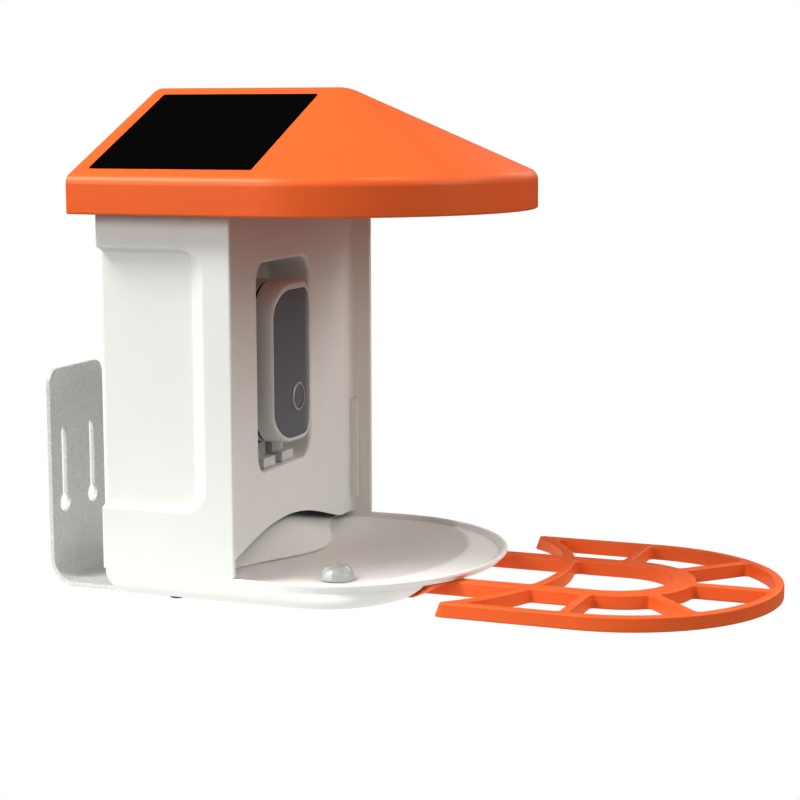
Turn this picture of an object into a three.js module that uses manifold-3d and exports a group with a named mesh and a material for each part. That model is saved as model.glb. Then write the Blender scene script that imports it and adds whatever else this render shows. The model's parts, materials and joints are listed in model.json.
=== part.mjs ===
import * as THREE from 'three';
import { mergeVertices } from 'three/addons/utils/BufferGeometryUtils.js';
import Module from 'manifold-3d';

// A seed feeder with a camera: a hopper body on a dish, a hinged roof with a solar panel,
// a pull-out camera unit, a perch that slides into the dish and a bracket for a wall.
// Millimetres. X runs to the feeder's right, Y back to the wall, Z up.
// The origin lies on the underside of the bracket's leg.

// Driving sizes
const bodyHalfWidth = 93.5;
const bodyBackY = 36;
const wingFrontY = -40;
const panelFaceY = -27;
const roundCentreY = -60;
const bodyHeight = 207.5;
const clearance = 0.3;
const overrun = 5;
const fineArc = 8;
const coarseArc = 4;
const smallRound = 12;

// Sizes of each piece
const bracket = {
  sheet: 2.5,
  halfWidth: 29.3,
  height: 121.8,
  bendRadius: 13,
  wallFaceY: 106.2,
  legFrontY: -61,
  cornerRadius: 8,
  keyholeX: 15.4,
  keyholeZ: 45,
  keyholeRadius: 5.4,
  slotHalfWidth: 2.6,
  slotTopZ: 88,
};
const pedestal = {
  height: 14,
  halfWidth: 24,
  frontY: -48,
  backY: 26,
  wall: 2.5,
  cornerRadius: 6,
  postX: 15,
  postInset: 9,
  postRadius: 5.5,
};
const bracketScrew = { radius: 2, headRadius: 4, headHeight: 2, length: 13 };
const insertSize = { radius: 3.2, length: 8 };

const dish = {
  rimHeight: 12.2,
  rimWidth: 6.6,
  rimRound: 0.9,
  floorTop: 9.8,
  floorSheet: 1.7,
  wall: 3,
  innerSlope: 2.8,
  backCornerRadius: 4,
  backRound: 12,
  bottomInset: 2.2,
  keelCentreY: -68,
  keelInset: 38.5,
  keelSquareness: 2.6,
  flareHeight: 7.7,
  flareWidth: 7,
  flareTop: 10.4,
};
const drainPlug = {
  inset: 29, ahead: 24.5, domeRadius: 9, domeHeight: 8.2, stemRadius: 3.6, stemLength: 5, holeRadius: 3.9,
};
const foot = { inset: 7.3, y: -4, frontInset: 30.5, ahead: 40, radius: 4.3, height: 1.1, bossRadius: 5 };

const perch = {
  height: 7.7,
  barWidth: 5.2,
  outerRadius: 84.5,
  centreY: -216,
  innerOuterRadius: 39.8,
  innerInnerRadius: 30.2,
  innerFrontCentreY: -213,
  endY: -148,
  arcRadius: 118.7,
  arcCentreY: -68.5,
  diagonalDegrees: 42,
  sideSpokeY: -210,
  hookHalfWidth: 53.5,
  hookDepth: 4.2,
  tongueBackY: -76,
  tongueBottom: 2.5,
  tongueStepY: -121,
};
const rail = { backY: -70, frontY: -112, wall: 2.4, lip: 2.1, lipReach: 3.2 };

const shell = {
  wall: 2.5,
  cornerRadius: 3,
  recessDepth: 5.5,
  recessBottom: 45,
  recessBelowTop: 28,
  recessFrontY: -24.5,
  recessRound: 13,
  recessSlope: 2.1,
  recessFrontSlope: 8.5,
  postRadius: 4.5,
  postInset: 6.5,
  postBehindPanel: 7.5,
  postHeight: 20,
  guideBottom: 22,
  guideTop: 80,
  guideDepth: 4.8,
  guideThickness: 1.5,
  backRib: 2.2,
};
const baseScrew = { radius: 1.6, headRadius: 3, headHeight: 2.4, length: 14 };

const panel = {
  sheet: 2.5,
  pocketBeside: 9,
  pocketBelow: 14.5,
  pocketAbove: 10,
  pocketRound: 10,
  pocketWall: 2,
  pocketFloorY: -1,
  archInset: 16.5,
  archHeight: 14.8,
  archShare: 0.55,
  flangeDepth: 12,
  flangeHeight: 6,
  flangeInset: 8,
};
const chute = {
  sheet: 1.8,
  lipY: -47,
  backLipY: -20,
  bulgeWidth: 50,
  slope: 0.46,
  stepsAcross: 20,
  stepsDeep: 6,
};

const roof = {
  overhang: 12,
  backOverhang: 9.5,
  skirtDrop: 10.8,
  eaveRise: 7.9,
  slopeDegrees: 24,
  wall: 3,
  ridgeRadius: 24,
  eaveRadius: 6,
  ribThickness: 2.4,
  ribFrontY: -8,
  ribBackY: 22,
};
const hinge = {
  behindBody: 8,
  drop: 6.5,
  radius: 3.4,
  pinRadius: 1.25,
  pinGap: 0.1,
  stationX: 45,
  earHalfWidth: 5,
  knuckle: 8,
  gap: 0.35,
};
const solar = {
  width: 90,
  sheet: 2.4,
  recess: 1.8,
  topX: 13.8,
  centreY: -8.4,
  border: 0.35,
  boxLength: 32,
  boxWidth: 24,
  boxHeight: 9,
  boxWall: 1.6,
  glandRadius: 3.4,
  glandLength: 9,
  cableHoleRadius: 5,
};
const magnet = { inset: 7, behindPanel: 5.5, radius: 4, height: 3, bossRadius: 6, keeperHeight: 2 };

const camera = {
  halfWidth: 25,
  bottom: 70,
  height: 88,
  depth: 29,
  round: 17,
  bulge: 3.7,
  backGap: 1.2,
  splitDepth: 17.8,
  wall: 1.8,
  windowMargin: 2.4,
  windowBelow: 2.6,
  windowAbove: 4.6,
  windowRound: 14.5,
  windowSheet: 2.2,
  ledge: 1.6,
  sealHeight: 1.2,
};
const button = {
  drop: 20.2,
  ringRadius: 7.3,
  ringWidth: 1.2,
  ringProud: 0.5,
  capGap: 0.25,
  capSheet: 2.6,
  stemRadius: 1.6,
  travel: 0.8,
  switchWidth: 6,
  switchHeight: 3,
};
const lens = { rise: 23, radius: 7.5, behindWindow: 4.35, glassRadius: 5, glassHeight: 1.6 };
const board = { sheet: 1.6, behindSplit: 0.8, margin: 3 };
const battery = { halfWidth: 18, below: 12.5, above: 14.5, thickness: 12, gapBehindBoard: 1 };
const speaker = { rise: 4, radius: 6.5, thickness: 4, x: -11 };
const motionSensor = { rise: 10, radius: 4, depth: 5, x: 11 };
const portPlug = { width: 5, depth: 10, height: 2.4, backInset: 9, socketHeight: 3.5 };
const cameraScrew = { radius: 1.1, headRadius: 2, headHeight: 1.6, length: 20, inset: 8.4, bossRadius: 2.6 };
const cradle = { innerX: 4.2, width: 15, frontY: -22.6 };

// Levels that several pieces share
const baseZ = bracket.sheet + pedestal.height;
const rimZ = baseZ + dish.rimHeight;
const floorZ = baseZ + dish.floorTop;
const floorUnderZ = floorZ - dish.floorSheet;
const bodyBottomZ = rimZ + clearance;
const bodyTopZ = baseZ + bodyHeight;
const skirtBottomZ = bodyTopZ - roof.skirtDrop;
const innerHalfWidth = bodyHalfWidth - shell.wall;
const panelBackY = panelFaceY + panel.sheet;
const hingeZ = bodyTopZ - hinge.drop;
const hingeY = bodyBackY + hinge.behindBody;
const roofHalfWidth = bodyHalfWidth + roof.overhang;
const roofBackY = bodyBackY + roof.backOverhang;
const flangeHalfWidth = innerHalfWidth - panel.flangeInset;
const magnetX = flangeHalfWidth - magnet.inset;
const magnetY = panelBackY + magnet.behindPanel;
const cameraBottomZ = baseZ + camera.bottom;
const cameraTopZ = cameraBottomZ + camera.height;
const cameraMiddleZ = (cameraBottomZ + cameraTopZ) / 2;
const cameraBackY = panel.pocketFloorY - camera.backGap;
const cameraFrontY = cameraBackY - camera.depth;
const splitY = cameraBackY - camera.splitDepth;
const boardFrontY = splitY + board.behindSplit;
const windowHalfWidth = camera.halfWidth - camera.windowMargin;

// Helpers
const wasm = await Module();
wasm.setup();

function solid(geometry) {
  const bare = geometry.clone();
  bare.deleteAttribute('normal');
  bare.deleteAttribute('uv');
  const merged = mergeVertices(bare);
  const mesh = new wasm.Mesh({
    numProp: 3,
    vertProperties: Float32Array.from(merged.attributes.position.array),
    triVerts: Uint32Array.from(merged.index.array),
  });
  return new wasm.Manifold(mesh);
}

function join(...solids) {
  return solids.reduce((whole, piece) => whole.add(piece));
}

function cut(whole, ...tools) {
  return tools.reduce((rest, tool) => rest.subtract(tool), whole);
}

function geometryOf(body) {
  const mesh = body.getMesh();
  const geometry = new THREE.BufferGeometry();
  geometry.setAttribute('position', new THREE.BufferAttribute(mesh.vertProperties, 3));
  geometry.setIndex(new THREE.BufferAttribute(mesh.triVerts, 1));
  geometry.computeVertexNormals();
  return geometry;
}

function block(x0, x1, y0, y1, z0, z1) {
  const geometry = new THREE.BoxGeometry(x1 - x0, y1 - y0, z1 - z0);
  geometry.translate((x0 + x1) / 2, (y0 + y1) / 2, (z0 + z1) / 2);
  return solid(geometry);
}

function extrude(shape, depth, segments) {
  return new THREE.ExtrudeGeometry(shape, { depth, bevelEnabled: false, curveSegments: segments });
}

// The outline's first coordinate is X, its second Y.
function alongZ(shape, z0, z1, segments = coarseArc) {
  const geometry = extrude(shape, z1 - z0, segments);
  geometry.translate(0, 0, z0);
  return solid(geometry);
}

// The outline's first coordinate is Y, its second Z.
function alongX(shape, x0, x1, segments = coarseArc) {
  const geometry = extrude(shape, x1 - x0, segments);
  const turn = new THREE.Matrix4().makeBasis(
    new THREE.Vector3(0, 1, 0), new THREE.Vector3(0, 0, 1), new THREE.Vector3(1, 0, 0));
  geometry.applyMatrix4(turn);
  geometry.translate(x0, 0, 0);
  return solid(geometry);
}

// The outline's first coordinate is X, its second Z.
function alongY(shape, y0, y1, segments = coarseArc) {
  const geometry = extrude(shape, y1 - y0, segments);
  const turn = new THREE.Matrix4().makeBasis(
    new THREE.Vector3(1, 0, 0), new THREE.Vector3(0, 0, 1), new THREE.Vector3(0, -1, 0));
  geometry.applyMatrix4(turn);
  geometry.translate(0, y1, 0);
  return solid(geometry);
}

function roundedRect(u0, u1, v0, v1, radius) {
  const shape = new THREE.Shape();
  shape.moveTo(u0 + radius, v0);
  shape.absarc(u1 - radius, v0 + radius, radius, -Math.PI / 2, 0, false);
  shape.absarc(u1 - radius, v1 - radius, radius, 0, Math.PI / 2, false);
  shape.absarc(u0 + radius, v1 - radius, radius, Math.PI / 2, Math.PI, false);
  shape.absarc(u0 + radius, v0 + radius, radius, Math.PI, 1.5 * Math.PI, false);
  return shape;
}

function polygon(points) {
  return new THREE.Shape(points.map(([u, v]) => new THREE.Vector2(u, v)));
}

function uprightRod(x, y, z0, z1, radius, segments = smallRound) {
  const geometry = new THREE.CylinderGeometry(radius, radius, z1 - z0, segments);
  geometry.rotateX(Math.PI / 2);
  geometry.translate(x, y, (z0 + z1) / 2);
  return solid(geometry);
}

function crossRod(x0, x1, y, z, radius, segments = smallRound) {
  const geometry = new THREE.CylinderGeometry(radius, radius, x1 - x0, segments);
  geometry.rotateZ(Math.PI / 2);
  geometry.translate((x0 + x1) / 2, y, z);
  return solid(geometry);
}

function levelRod(x, z, y0, y1, radius, segments = smallRound) {
  const geometry = new THREE.CylinderGeometry(radius, radius, y1 - y0, segments);
  geometry.translate(x, (y0 + y1) / 2, z);
  return solid(geometry);
}

// A solid turned about an upright axis; the profile holds [radius, height] pairs from the bottom up.
function turned(profile, x, y, segments = smallRound) {
  const points = profile.map(([radius, height]) => new THREE.Vector2(radius, height));
  const geometry = new THREE.LatheGeometry(points, segments);
  geometry.rotateX(Math.PI / 2);
  geometry.translate(x, y, 0);
  return solid(geometry);
}

// A closed skin through level rings that all have as many points.
function loft(rings) {
  const count = rings[0].length;
  const positions = rings.flat().flatMap((point) => [point.x, point.y, point.z]);
  const indices = [];
  for (let level = 0; level < rings.length - 1; level += 1) {
    for (let i = 0; i < count; i += 1) {
      const next = (i + 1) % count;
      const low = level * count;
      const high = low + count;
      indices.push(low + i, low + next, high + next, low + i, high + next, high + i);
    }
  }
  const outline = rings[0].map((point) => new THREE.Vector2(point.x, point.y));
  const top = rings[rings.length - 1].map((point) => new THREE.Vector2(point.x, point.y));
  const topStart = (rings.length - 1) * count;
  for (const [a, b, c] of THREE.ShapeUtils.triangulateShape(outline, [])) indices.push(a, c, b);
  for (const [a, b, c] of THREE.ShapeUtils.triangulateShape(top, [])) {
    indices.push(topStart + a, topStart + b, topStart + c);
  }
  const geometry = new THREE.BufferGeometry();
  geometry.setAttribute('position', new THREE.Float32BufferAttribute(positions, 3));
  geometry.setIndex(indices);
  return solid(geometry);
}

function bothSides(make) {
  return join(make(-1), make(1));
}

// Materials
const paint = (color, roughness, metalness = 0) => new THREE.MeshStandardMaterial({ color, roughness, metalness });
const materials = {
  whitePlastic: paint('#f2f2ee', 0.55),
  greyPlastic: paint('#c9c9c6', 0.5),
  orangePlastic: paint('#f26a31', 0.5),
  solarGlass: paint('#050506', 0.3),
  smokedWindow: paint('#3a3a3b', 0.15),
  steel: paint('#c4c6c2', 0.55, 0.6),
  brightSteel: paint('#d9dadb', 0.25, 1),
  brass: paint('#c9a45c', 0.35, 1),
  blackRubber: paint('#2a2a2a', 0.8),
  blackPlastic: paint('#222224', 0.45),
  clearPlastic: paint('#eef1ef', 0.1),
  boardGreen: paint('#1f5a3a', 0.6),
  batteryWrap: paint('#3a6ea5', 0.5),
};

const feeder = new THREE.Group();

function place(name, body, material) {
  const mesh = new THREE.Mesh(geometryOf(body), material);
  mesh.name = name;
  feeder.add(mesh);
}

function placeCopies(name, bodies, material) {
  bodies.forEach((body, i) => place(`${name}_${i + 1}`, body, material));
}

// Wall bracket: one bent sheet, an upright plate with two keyholes and a leg under the dish
const bendOuter = bracket.bendRadius + bracket.sheet;
const bendCentreY = bracket.wallFaceY - bendOuter;

function bracketBody() {
  const side = new THREE.Shape();
  side.moveTo(bracket.legFrontY, 0);
  side.lineTo(bendCentreY, 0);
  side.absarc(bendCentreY, bendOuter, bendOuter, -Math.PI / 2, 0, false);
  side.lineTo(bracket.wallFaceY, bracket.height);
  side.lineTo(bracket.wallFaceY - bracket.sheet, bracket.height);
  side.lineTo(bracket.wallFaceY - bracket.sheet, bendOuter);
  side.absarc(bendCentreY, bendOuter, bracket.bendRadius, 0, -Math.PI / 2, true);
  side.lineTo(bracket.legFrontY, bracket.sheet);
  const bent = alongX(side, -bracket.halfWidth, bracket.halfWidth, fineArc);
  const faceOutline = roundedRect(-bracket.halfWidth, bracket.halfWidth,
    -bracket.height, bracket.height, bracket.cornerRadius);
  const legOutline = roundedRect(-bracket.halfWidth, bracket.halfWidth,
    bracket.legFrontY, bracket.wallFaceY + bracket.height, bracket.cornerRadius);
  const rounded = bent
    .intersect(alongY(faceOutline, bracket.legFrontY - overrun, bracket.wallFaceY + overrun))
    .intersect(alongZ(legOutline, -overrun, bracket.height + overrun));
  return cut(rounded, bothSides(keyhole), screwHoles());
}

function keyhole(sideSign) {
  const x = sideSign * bracket.keyholeX;
  const y0 = bracket.wallFaceY - bracket.sheet - overrun;
  const y1 = bracket.wallFaceY + overrun;
  const round = levelRod(x, bracket.keyholeZ, y0, y1, bracket.keyholeRadius, 2 * smallRound);
  const slot = roundedRect(x - bracket.slotHalfWidth, x + bracket.slotHalfWidth,
    bracket.keyholeZ, bracket.slotTopZ, bracket.slotHalfWidth * 0.98);
  return join(round, alongY(slot, y0, y1));
}

const postPlaces = [];
for (const x of [-pedestal.postX, pedestal.postX]) {
  for (const y of [pedestal.frontY + pedestal.postInset, pedestal.backY - pedestal.postInset]) {
    postPlaces.push([x, y]);
  }
}

function screwHoles() {
  const reach = bracketScrew.radius + clearance;
  const holes = postPlaces.map(([x, y]) => turned([
    [0, -overrun],
    [bracketScrew.headRadius + clearance, -overrun],
    [bracketScrew.headRadius + clearance, 0],
    [reach, bracketScrew.headHeight],
    [reach, bracket.sheet + overrun],
    [0, bracket.sheet + overrun],
  ], x, y));
  return join(...holes);
}

function bracketScrews() {
  const gap = clearance / 2;
  return postPlaces.map(([x, y]) => turned([
    [0, gap],
    [bracketScrew.headRadius - gap, gap],
    [bracketScrew.radius, bracketScrew.headHeight + gap],
    [bracketScrew.radius, bracketScrew.length],
    [0, bracketScrew.length],
  ], x, y));
}

function bracketInserts() {
  const bottom = bracket.sheet + 2 * clearance;
  const bore = bracketScrew.radius + clearance / 2;
  return postPlaces.map(([x, y]) => turned([
    [bore, bottom],
    [insertSize.radius, bottom],
    [insertSize.radius, bottom + insertSize.length],
    [bore, bottom + insertSize.length],
    [bore, bottom],
  ], x, y));
}

place('wall_bracket', bracketBody(), materials.steel);
placeCopies('bracket_screw', bracketScrews(), materials.brightSteel);
placeCopies('threaded_insert', bracketInserts(), materials.brass);

// Dish: a flared rim on a narrower keel, hollow from below, with a pedestal for the bracket
// and two rails for the perch
function dishRing(height, inset) {
  const share = Math.min(height / dish.flareHeight, 1);
  const flare = Math.min(Math.max((height - dish.flareHeight) / (dish.flareTop - dish.flareHeight), 0), 1);
  const centreY = dish.keelCentreY + (roundCentreY - dish.keelCentreY) * share;
  const keelReach = bodyHalfWidth - dish.keelInset;
  const keel = keelReach + (dish.keelInset - dish.flareWidth) * share;
  const reach = keel + dish.flareWidth * flare - inset;
  const below = 1 - Math.min(height / dish.flareHeight, 1);
  const edge = height > dish.rimHeight - dish.rimRound ? dish.rimRound : 0;
  const halfWidth = bodyHalfWidth - dish.bottomInset * below ** 3 - inset - edge;
  const drop = Math.max(dish.backRound - height, 0);
  const backY = bodyBackY - dish.backRound + Math.sqrt(dish.backRound ** 2 - drop ** 2) - inset - edge;
  const power = 2 / (dish.keelSquareness + (2 - dish.keelSquareness) * share);
  return { centreY, reach: reach - edge, halfWidth, backY, height, power };
}

function ringPoints(ring) {
  const points = [];
  const radius = dish.backCornerRadius;
  const corners = [[ring.halfWidth - radius, ring.backY - radius, 0],
    [radius - ring.halfWidth, ring.backY - radius, Math.PI / 2]];
  for (const [x, y, start] of corners) {
    for (let i = 0; i <= coarseArc; i += 1) {
      const angle = start + (Math.PI / 2) * (i / coarseArc);
      points.push(new THREE.Vector3(x + radius * Math.cos(angle), y + radius * Math.sin(angle), baseZ + ring.height));
    }
  }
  const steps = 3 * fineArc;
  for (let i = 0; i <= steps; i += 1) {
    const angle = Math.PI + Math.PI * (i / steps);
    const across = Math.sign(Math.cos(angle)) * Math.abs(Math.cos(angle)) ** ring.power;
    const along = -(Math.abs(Math.sin(angle)) ** ring.power);
    points.push(new THREE.Vector3(
      ring.halfWidth * across, ring.centreY + ring.reach * along, baseZ + ring.height));
  }
  return points;
}

function dishForm(heights, inset, extraBelow = 0, extraAbove = 0) {
  const rings = heights.map((height) => ringPoints(dishRing(height, inset)));
  if (extraBelow > 0) {
    rings.unshift(rings[0].map((point) => point.clone().setZ(point.z - extraBelow)));
  }
  if (extraAbove > 0) {
    rings.push(rings[rings.length - 1].map((point) => point.clone().setZ(point.z + extraAbove)));
  }
  return loft(rings);
}

const drainX = drainPlug.inset - bodyHalfWidth;
const drainY = roundCentreY - drainPlug.ahead;
const flankShares = [0, 0.15, 0.45, 1];
const flankHeights = flankShares.map((share) => share * dish.flareHeight);
const rimHeights = [dish.flareTop, dish.rimHeight - dish.rimRound, dish.rimHeight];
const floorUnder = dish.floorTop - dish.floorSheet;

function perchSlot() {
  const halfWidth = perch.hookHalfWidth + clearance;
  const topZ = floorUnderZ - overrun / 50;
  return block(-halfWidth, halfWidth, perch.centreY, roundCentreY - bodyHalfWidth / 2, baseZ - overrun, topZ);
}

function basin() {
  const low = dishRing(dish.flareTop, dish.rimWidth + dish.innerSlope);
  const high = dishRing(dish.flareTop, dish.rimWidth);
  low.height = dish.floorTop;
  high.height = dish.rimHeight;
  const rings = [ringPoints(low), ringPoints(high)];
  rings.push(rings[1].map((point) => point.clone().setZ(point.z + overrun)));
  return loft(rings);
}

function pedestalBody() {
  const bottom = bracket.sheet + clearance;
  const outer = roundedRect(-pedestal.halfWidth, pedestal.halfWidth,
    pedestal.frontY, pedestal.backY, pedestal.cornerRadius);
  const inner = roundedRect(pedestal.wall - pedestal.halfWidth, pedestal.halfWidth - pedestal.wall,
    pedestal.frontY + pedestal.wall, pedestal.backY - pedestal.wall, pedestal.cornerRadius - pedestal.wall);
  const wall = cut(alongZ(outer, bottom, floorUnderZ + clearance), alongZ(inner, bottom - overrun, floorUnderZ));
  const posts = postPlaces.map(([x, y]) => uprightRod(x, y, bottom, floorUnderZ + clearance, pedestal.postRadius));
  const bores = postPlaces.map(([x, y]) => uprightRod(
    x, y, bottom - overrun, bracketScrew.length + clearance, insertSize.radius + clearance / 2));
  return cut(join(wall, ...posts), ...bores);
}

function perchRail(sideSign) {
  const outerWall = perch.innerOuterRadius + clearance;
  const innerWall = perch.innerInnerRadius - clearance;
  const spans = [
    [outerWall, outerWall + rail.wall, 0],
    [outerWall - rail.lipReach, outerWall + rail.wall, 1],
    [innerWall - rail.wall, innerWall, 0],
    [innerWall - rail.wall, innerWall + rail.lipReach, 1],
  ];
  return join(...spans.map(([near, far, isLip]) => block(
    Math.min(sideSign * near, sideSign * far), Math.max(sideSign * near, sideSign * far),
    rail.frontY, rail.backY, baseZ, isLip ? baseZ + rail.lip : floorUnderZ + clearance)));
}

const bodyPosts = [];
for (const sideSign of [-1, 1]) {
  for (const y of [panelBackY + shell.postBehindPanel, bodyBackY - shell.wall - shell.postInset]) {
    bodyPosts.push([sideSign * (innerHalfWidth - shell.postInset), y]);
  }
}
const footX = bodyHalfWidth - foot.inset;
const frontFootX = bodyHalfWidth - foot.frontInset;
const frontFootY = roundCentreY - foot.ahead;
const footPlaces = [[-footX, foot.y], [footX, foot.y], [-frontFootX, frontFootY], [frontFootX, frontFootY]];

function dishBody() {
  const outside = dishForm([...flankHeights, ...rimHeights], 0);
  const under = dishForm([...flankHeights, floorUnder], dish.wall, overrun);
  const bosses = footPlaces.map(([x, y]) => uprightRod(x, y, baseZ, floorUnderZ + clearance, foot.bossRadius));
  const screwBosses = bodyPosts.map(([x, y]) => uprightRod(
    x, y, baseZ + baseScrew.headHeight, floorUnderZ + clearance, shell.postRadius));
  const screwBores = bodyPosts.map(([x, y]) => join(
    uprightRod(x, y, baseZ - overrun, rimZ + overrun, baseScrew.radius + clearance),
    uprightRod(x, y, baseZ - overrun, floorUnderZ - baseScrew.headHeight, baseScrew.headRadius + clearance)));
  const drain = uprightRod(drainX, drainY, baseZ, rimZ + overrun, drainPlug.holeRadius);
  const hollow = cut(outside, under, basin(), perchSlot());
  const pads = bodyPosts.map(([x, y]) => uprightRod(x, y, floorUnderZ, rimZ, shell.postRadius));
  const whole = join(hollow, pedestalBody(), bothSides(perchRail), ...bosses, ...screwBosses, ...pads);
  return cut(whole.intersect(join(outside, pedestalBody())), drain, ...screwBores);
}

function plugBody() {
  const steps = 2 * coarseArc;
  const bottom = floorZ + clearance / 2;
  const profile = [
    [0, floorZ - drainPlug.stemLength],
    [drainPlug.stemRadius, floorZ - drainPlug.stemLength],
    [drainPlug.stemRadius, bottom],
  ];
  for (let i = 0; i <= steps; i += 1) {
    const angle = (Math.PI / 2) * (i / steps);
    const radius = i < steps ? drainPlug.domeRadius * Math.cos(angle) : 0;
    profile.push([radius, bottom + drainPlug.domeHeight * Math.sin(angle)]);
  }
  return turned(profile, drainX, drainY, 2 * smallRound);
}

function feet() {
  return footPlaces.map(([x, y]) => uprightRod(x, y, baseZ - foot.height, baseZ - clearance / 2, foot.radius));
}

function baseScrews() {
  const headTop = floorUnderZ - baseScrew.headHeight - clearance / 2;
  return bodyPosts.map(([x, y]) => turned([
    [0, headTop - baseScrew.headHeight],
    [baseScrew.headRadius, headTop - baseScrew.headHeight],
    [baseScrew.headRadius, headTop],
    [baseScrew.radius, headTop],
    [baseScrew.radius, headTop + baseScrew.length],
    [0, headTop + baseScrew.length],
  ], x, y));
}

place('dish_base', dishBody(), materials.whitePlastic);
place('drain_plug', plugBody(), materials.clearPlastic);
placeCopies('rubber_foot', feet(), materials.blackRubber);
placeCopies('base_screw', baseScrews(), materials.brightSteel);

// Perch: two U rings tied by spokes and an arc, with a hook under the rim and two tongues
function uOutline(radius, centreY, backY) {
  const shape = new THREE.Shape();
  shape.moveTo(-radius, backY);
  shape.lineTo(-radius, centreY);
  shape.absarc(0, centreY, radius, Math.PI, 2 * Math.PI, false);
  shape.lineTo(radius, backY);
  return shape;
}

function ring(radius, centreY, z0, z1) {
  const disc = uprightRod(0, centreY, z0, z1, radius, 8 * fineArc);
  return cut(disc, uprightRod(0, centreY, z0 - overrun, z1 + overrun, radius - perch.barWidth, 8 * fineArc));
}

function spoke(angle, from, to, z0, z1) {
  const half = perch.barWidth / 2;
  const geometry = new THREE.BoxGeometry(to - from, 2 * half, z1 - z0);
  geometry.translate((from + to) / 2, 0, (z0 + z1) / 2);
  geometry.rotateZ(angle);
  geometry.translate(0, perch.centreY, 0);
  return solid(geometry);
}

function perchBody() {
  const z0 = baseZ;
  const z1 = baseZ + perch.height;
  const farZ = z1 + overrun;
  const lowZ = z0 - overrun;
  const outerU = uOutline(perch.outerRadius, perch.centreY, perch.endY);
  const outerHole = uOutline(perch.outerRadius - perch.barWidth, perch.centreY, perch.endY + overrun);
  const whole = alongZ(outerU, z0, z1, 4 * fineArc);
  const outerRing = cut(whole, alongZ(outerHole, lowZ, farZ, 4 * fineArc));
  const innerU = uOutline(perch.innerOuterRadius, perch.centreY, perch.tongueBackY);
  const innerHole = uOutline(perch.innerInnerRadius, perch.innerFrontCentreY, perch.tongueBackY + overrun);
  const innerRing = cut(alongZ(innerU, z0, z1, 2 * fineArc), alongZ(innerHole, lowZ, farZ, 2 * fineArc));
  const tongueRelief = block(-bodyHalfWidth, bodyHalfWidth, perch.tongueStepY, 0, lowZ, z0 + perch.tongueBottom);
  const reach = perch.outerRadius - perch.barWidth / 2;
  const arcLimit = uOutline(reach, perch.centreY, perch.endY - clearance);
  const arc = ring(perch.arcRadius, perch.arcCentreY, z0, z1).intersect(alongZ(arcLimit, z0, z1));
  const inside = perch.innerOuterRadius - perch.barWidth / 2;
  const diagonal = THREE.MathUtils.degToRad(perch.diagonalDegrees);
  const spokes = [-Math.PI / 2, -diagonal, diagonal - Math.PI].map((angle) => spoke(angle, inside, reach, z0, z1));
  const half = perch.barWidth / 2;
  const sideBars = cut(
    block(-reach, reach, perch.sideSpokeY - half, perch.sideSpokeY + half, z0, z1),
    block(-inside, inside, perch.centreY, 0, lowZ, farZ));
  return join(outerRing, cut(innerRing, tongueRelief), arc, ...spokes, sideBars, hookBody());
}

function hookBody() {
  const heights = flankHeights.map((height) => Math.min(height, perch.height));
  const outer = dishForm(heights, clearance);
  const inner = dishForm(heights, clearance + perch.hookDepth, overrun, overrun);
  const span = block(-perch.hookHalfWidth, perch.hookHalfWidth,
    perch.centreY, roundCentreY - bodyHalfWidth / 2, baseZ - overrun, baseZ + perch.height);
  return cut(outer, inner).intersect(span);
}

place('perch', perchBody(), materials.orangePlastic);

// Body shell: back and side walls with a stepped-in panel on each side, open at the top
function recessTool(sideSign, grow) {
  const depth = shell.recessDepth;
  const bottom = baseZ + shell.recessBottom - grow;
  const top = bodyTopZ - shell.recessBelowTop + grow;
  const frontY = shell.recessFrontY - grow;
  const farY = bodyBackY + shell.recessRound + overrun;
  const outX = bodyHalfWidth + overrun;
  const plan = polygon([
    [bodyHalfWidth - depth - grow, farY],
    [bodyHalfWidth - depth - grow, frontY + shell.recessFrontSlope],
    [bodyHalfWidth - grow, frontY],
    [outX, frontY],
    [outX, farY],
  ].map(([x, y]) => [sideSign * x, y]));
  const side = roundedRect(frontY + shell.recessSlope, farY - shell.recessSlope,
    bottom + shell.recessSlope, top - shell.recessSlope, shell.recessRound);
  const geometry = new THREE.ExtrudeGeometry(side, {
    depth: overrun,
    bevelEnabled: true,
    bevelSegments: 1,
    bevelThickness: depth,
    bevelSize: shell.recessSlope,
    curveSegments: coarseArc,
  });
  const turn = new THREE.Matrix4().makeBasis(
    new THREE.Vector3(0, 1, 0), new THREE.Vector3(0, 0, 1), new THREE.Vector3(1, 0, 0));
  geometry.applyMatrix4(turn);
  if (sideSign < 0) {
    geometry.scale(-1, 1, 1);
    flip(geometry);
  }
  geometry.translate(sideSign * (bodyHalfWidth - grow), 0, 0);
  return solid(geometry).intersect(alongZ(plan, bottom - overrun, top + overrun));
}

// Turns every face round, after a mirroring.
function flip(geometry) {
  const position = geometry.attributes.position;
  const a = new THREE.Vector3();
  const b = new THREE.Vector3();
  for (let i = 0; i < position.count; i += 3) {
    a.fromBufferAttribute(position, i);
    b.fromBufferAttribute(position, i + 1);
    position.setXYZ(i, b.x, b.y, b.z);
    position.setXYZ(i + 1, a.x, a.y, a.z);
  }
}

function guideRib(sideSign) {
  const near = sideSign * innerHalfWidth;
  const far = near - sideSign * shell.guideThickness;
  const low = Math.min(near, far) - clearance;
  const high = Math.max(near, far) + clearance;
  const frontY = panelFaceY - clearance - shell.guideDepth;
  const front = block(low, high, frontY, panelFaceY - clearance,
    baseZ + shell.guideBottom, baseZ + shell.guideTop);
  const back = block(low, high, panelBackY + clearance, panelBackY + clearance + shell.backRib,
    bodyBottomZ, bodyTopZ);
  return join(front, back);
}

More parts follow.
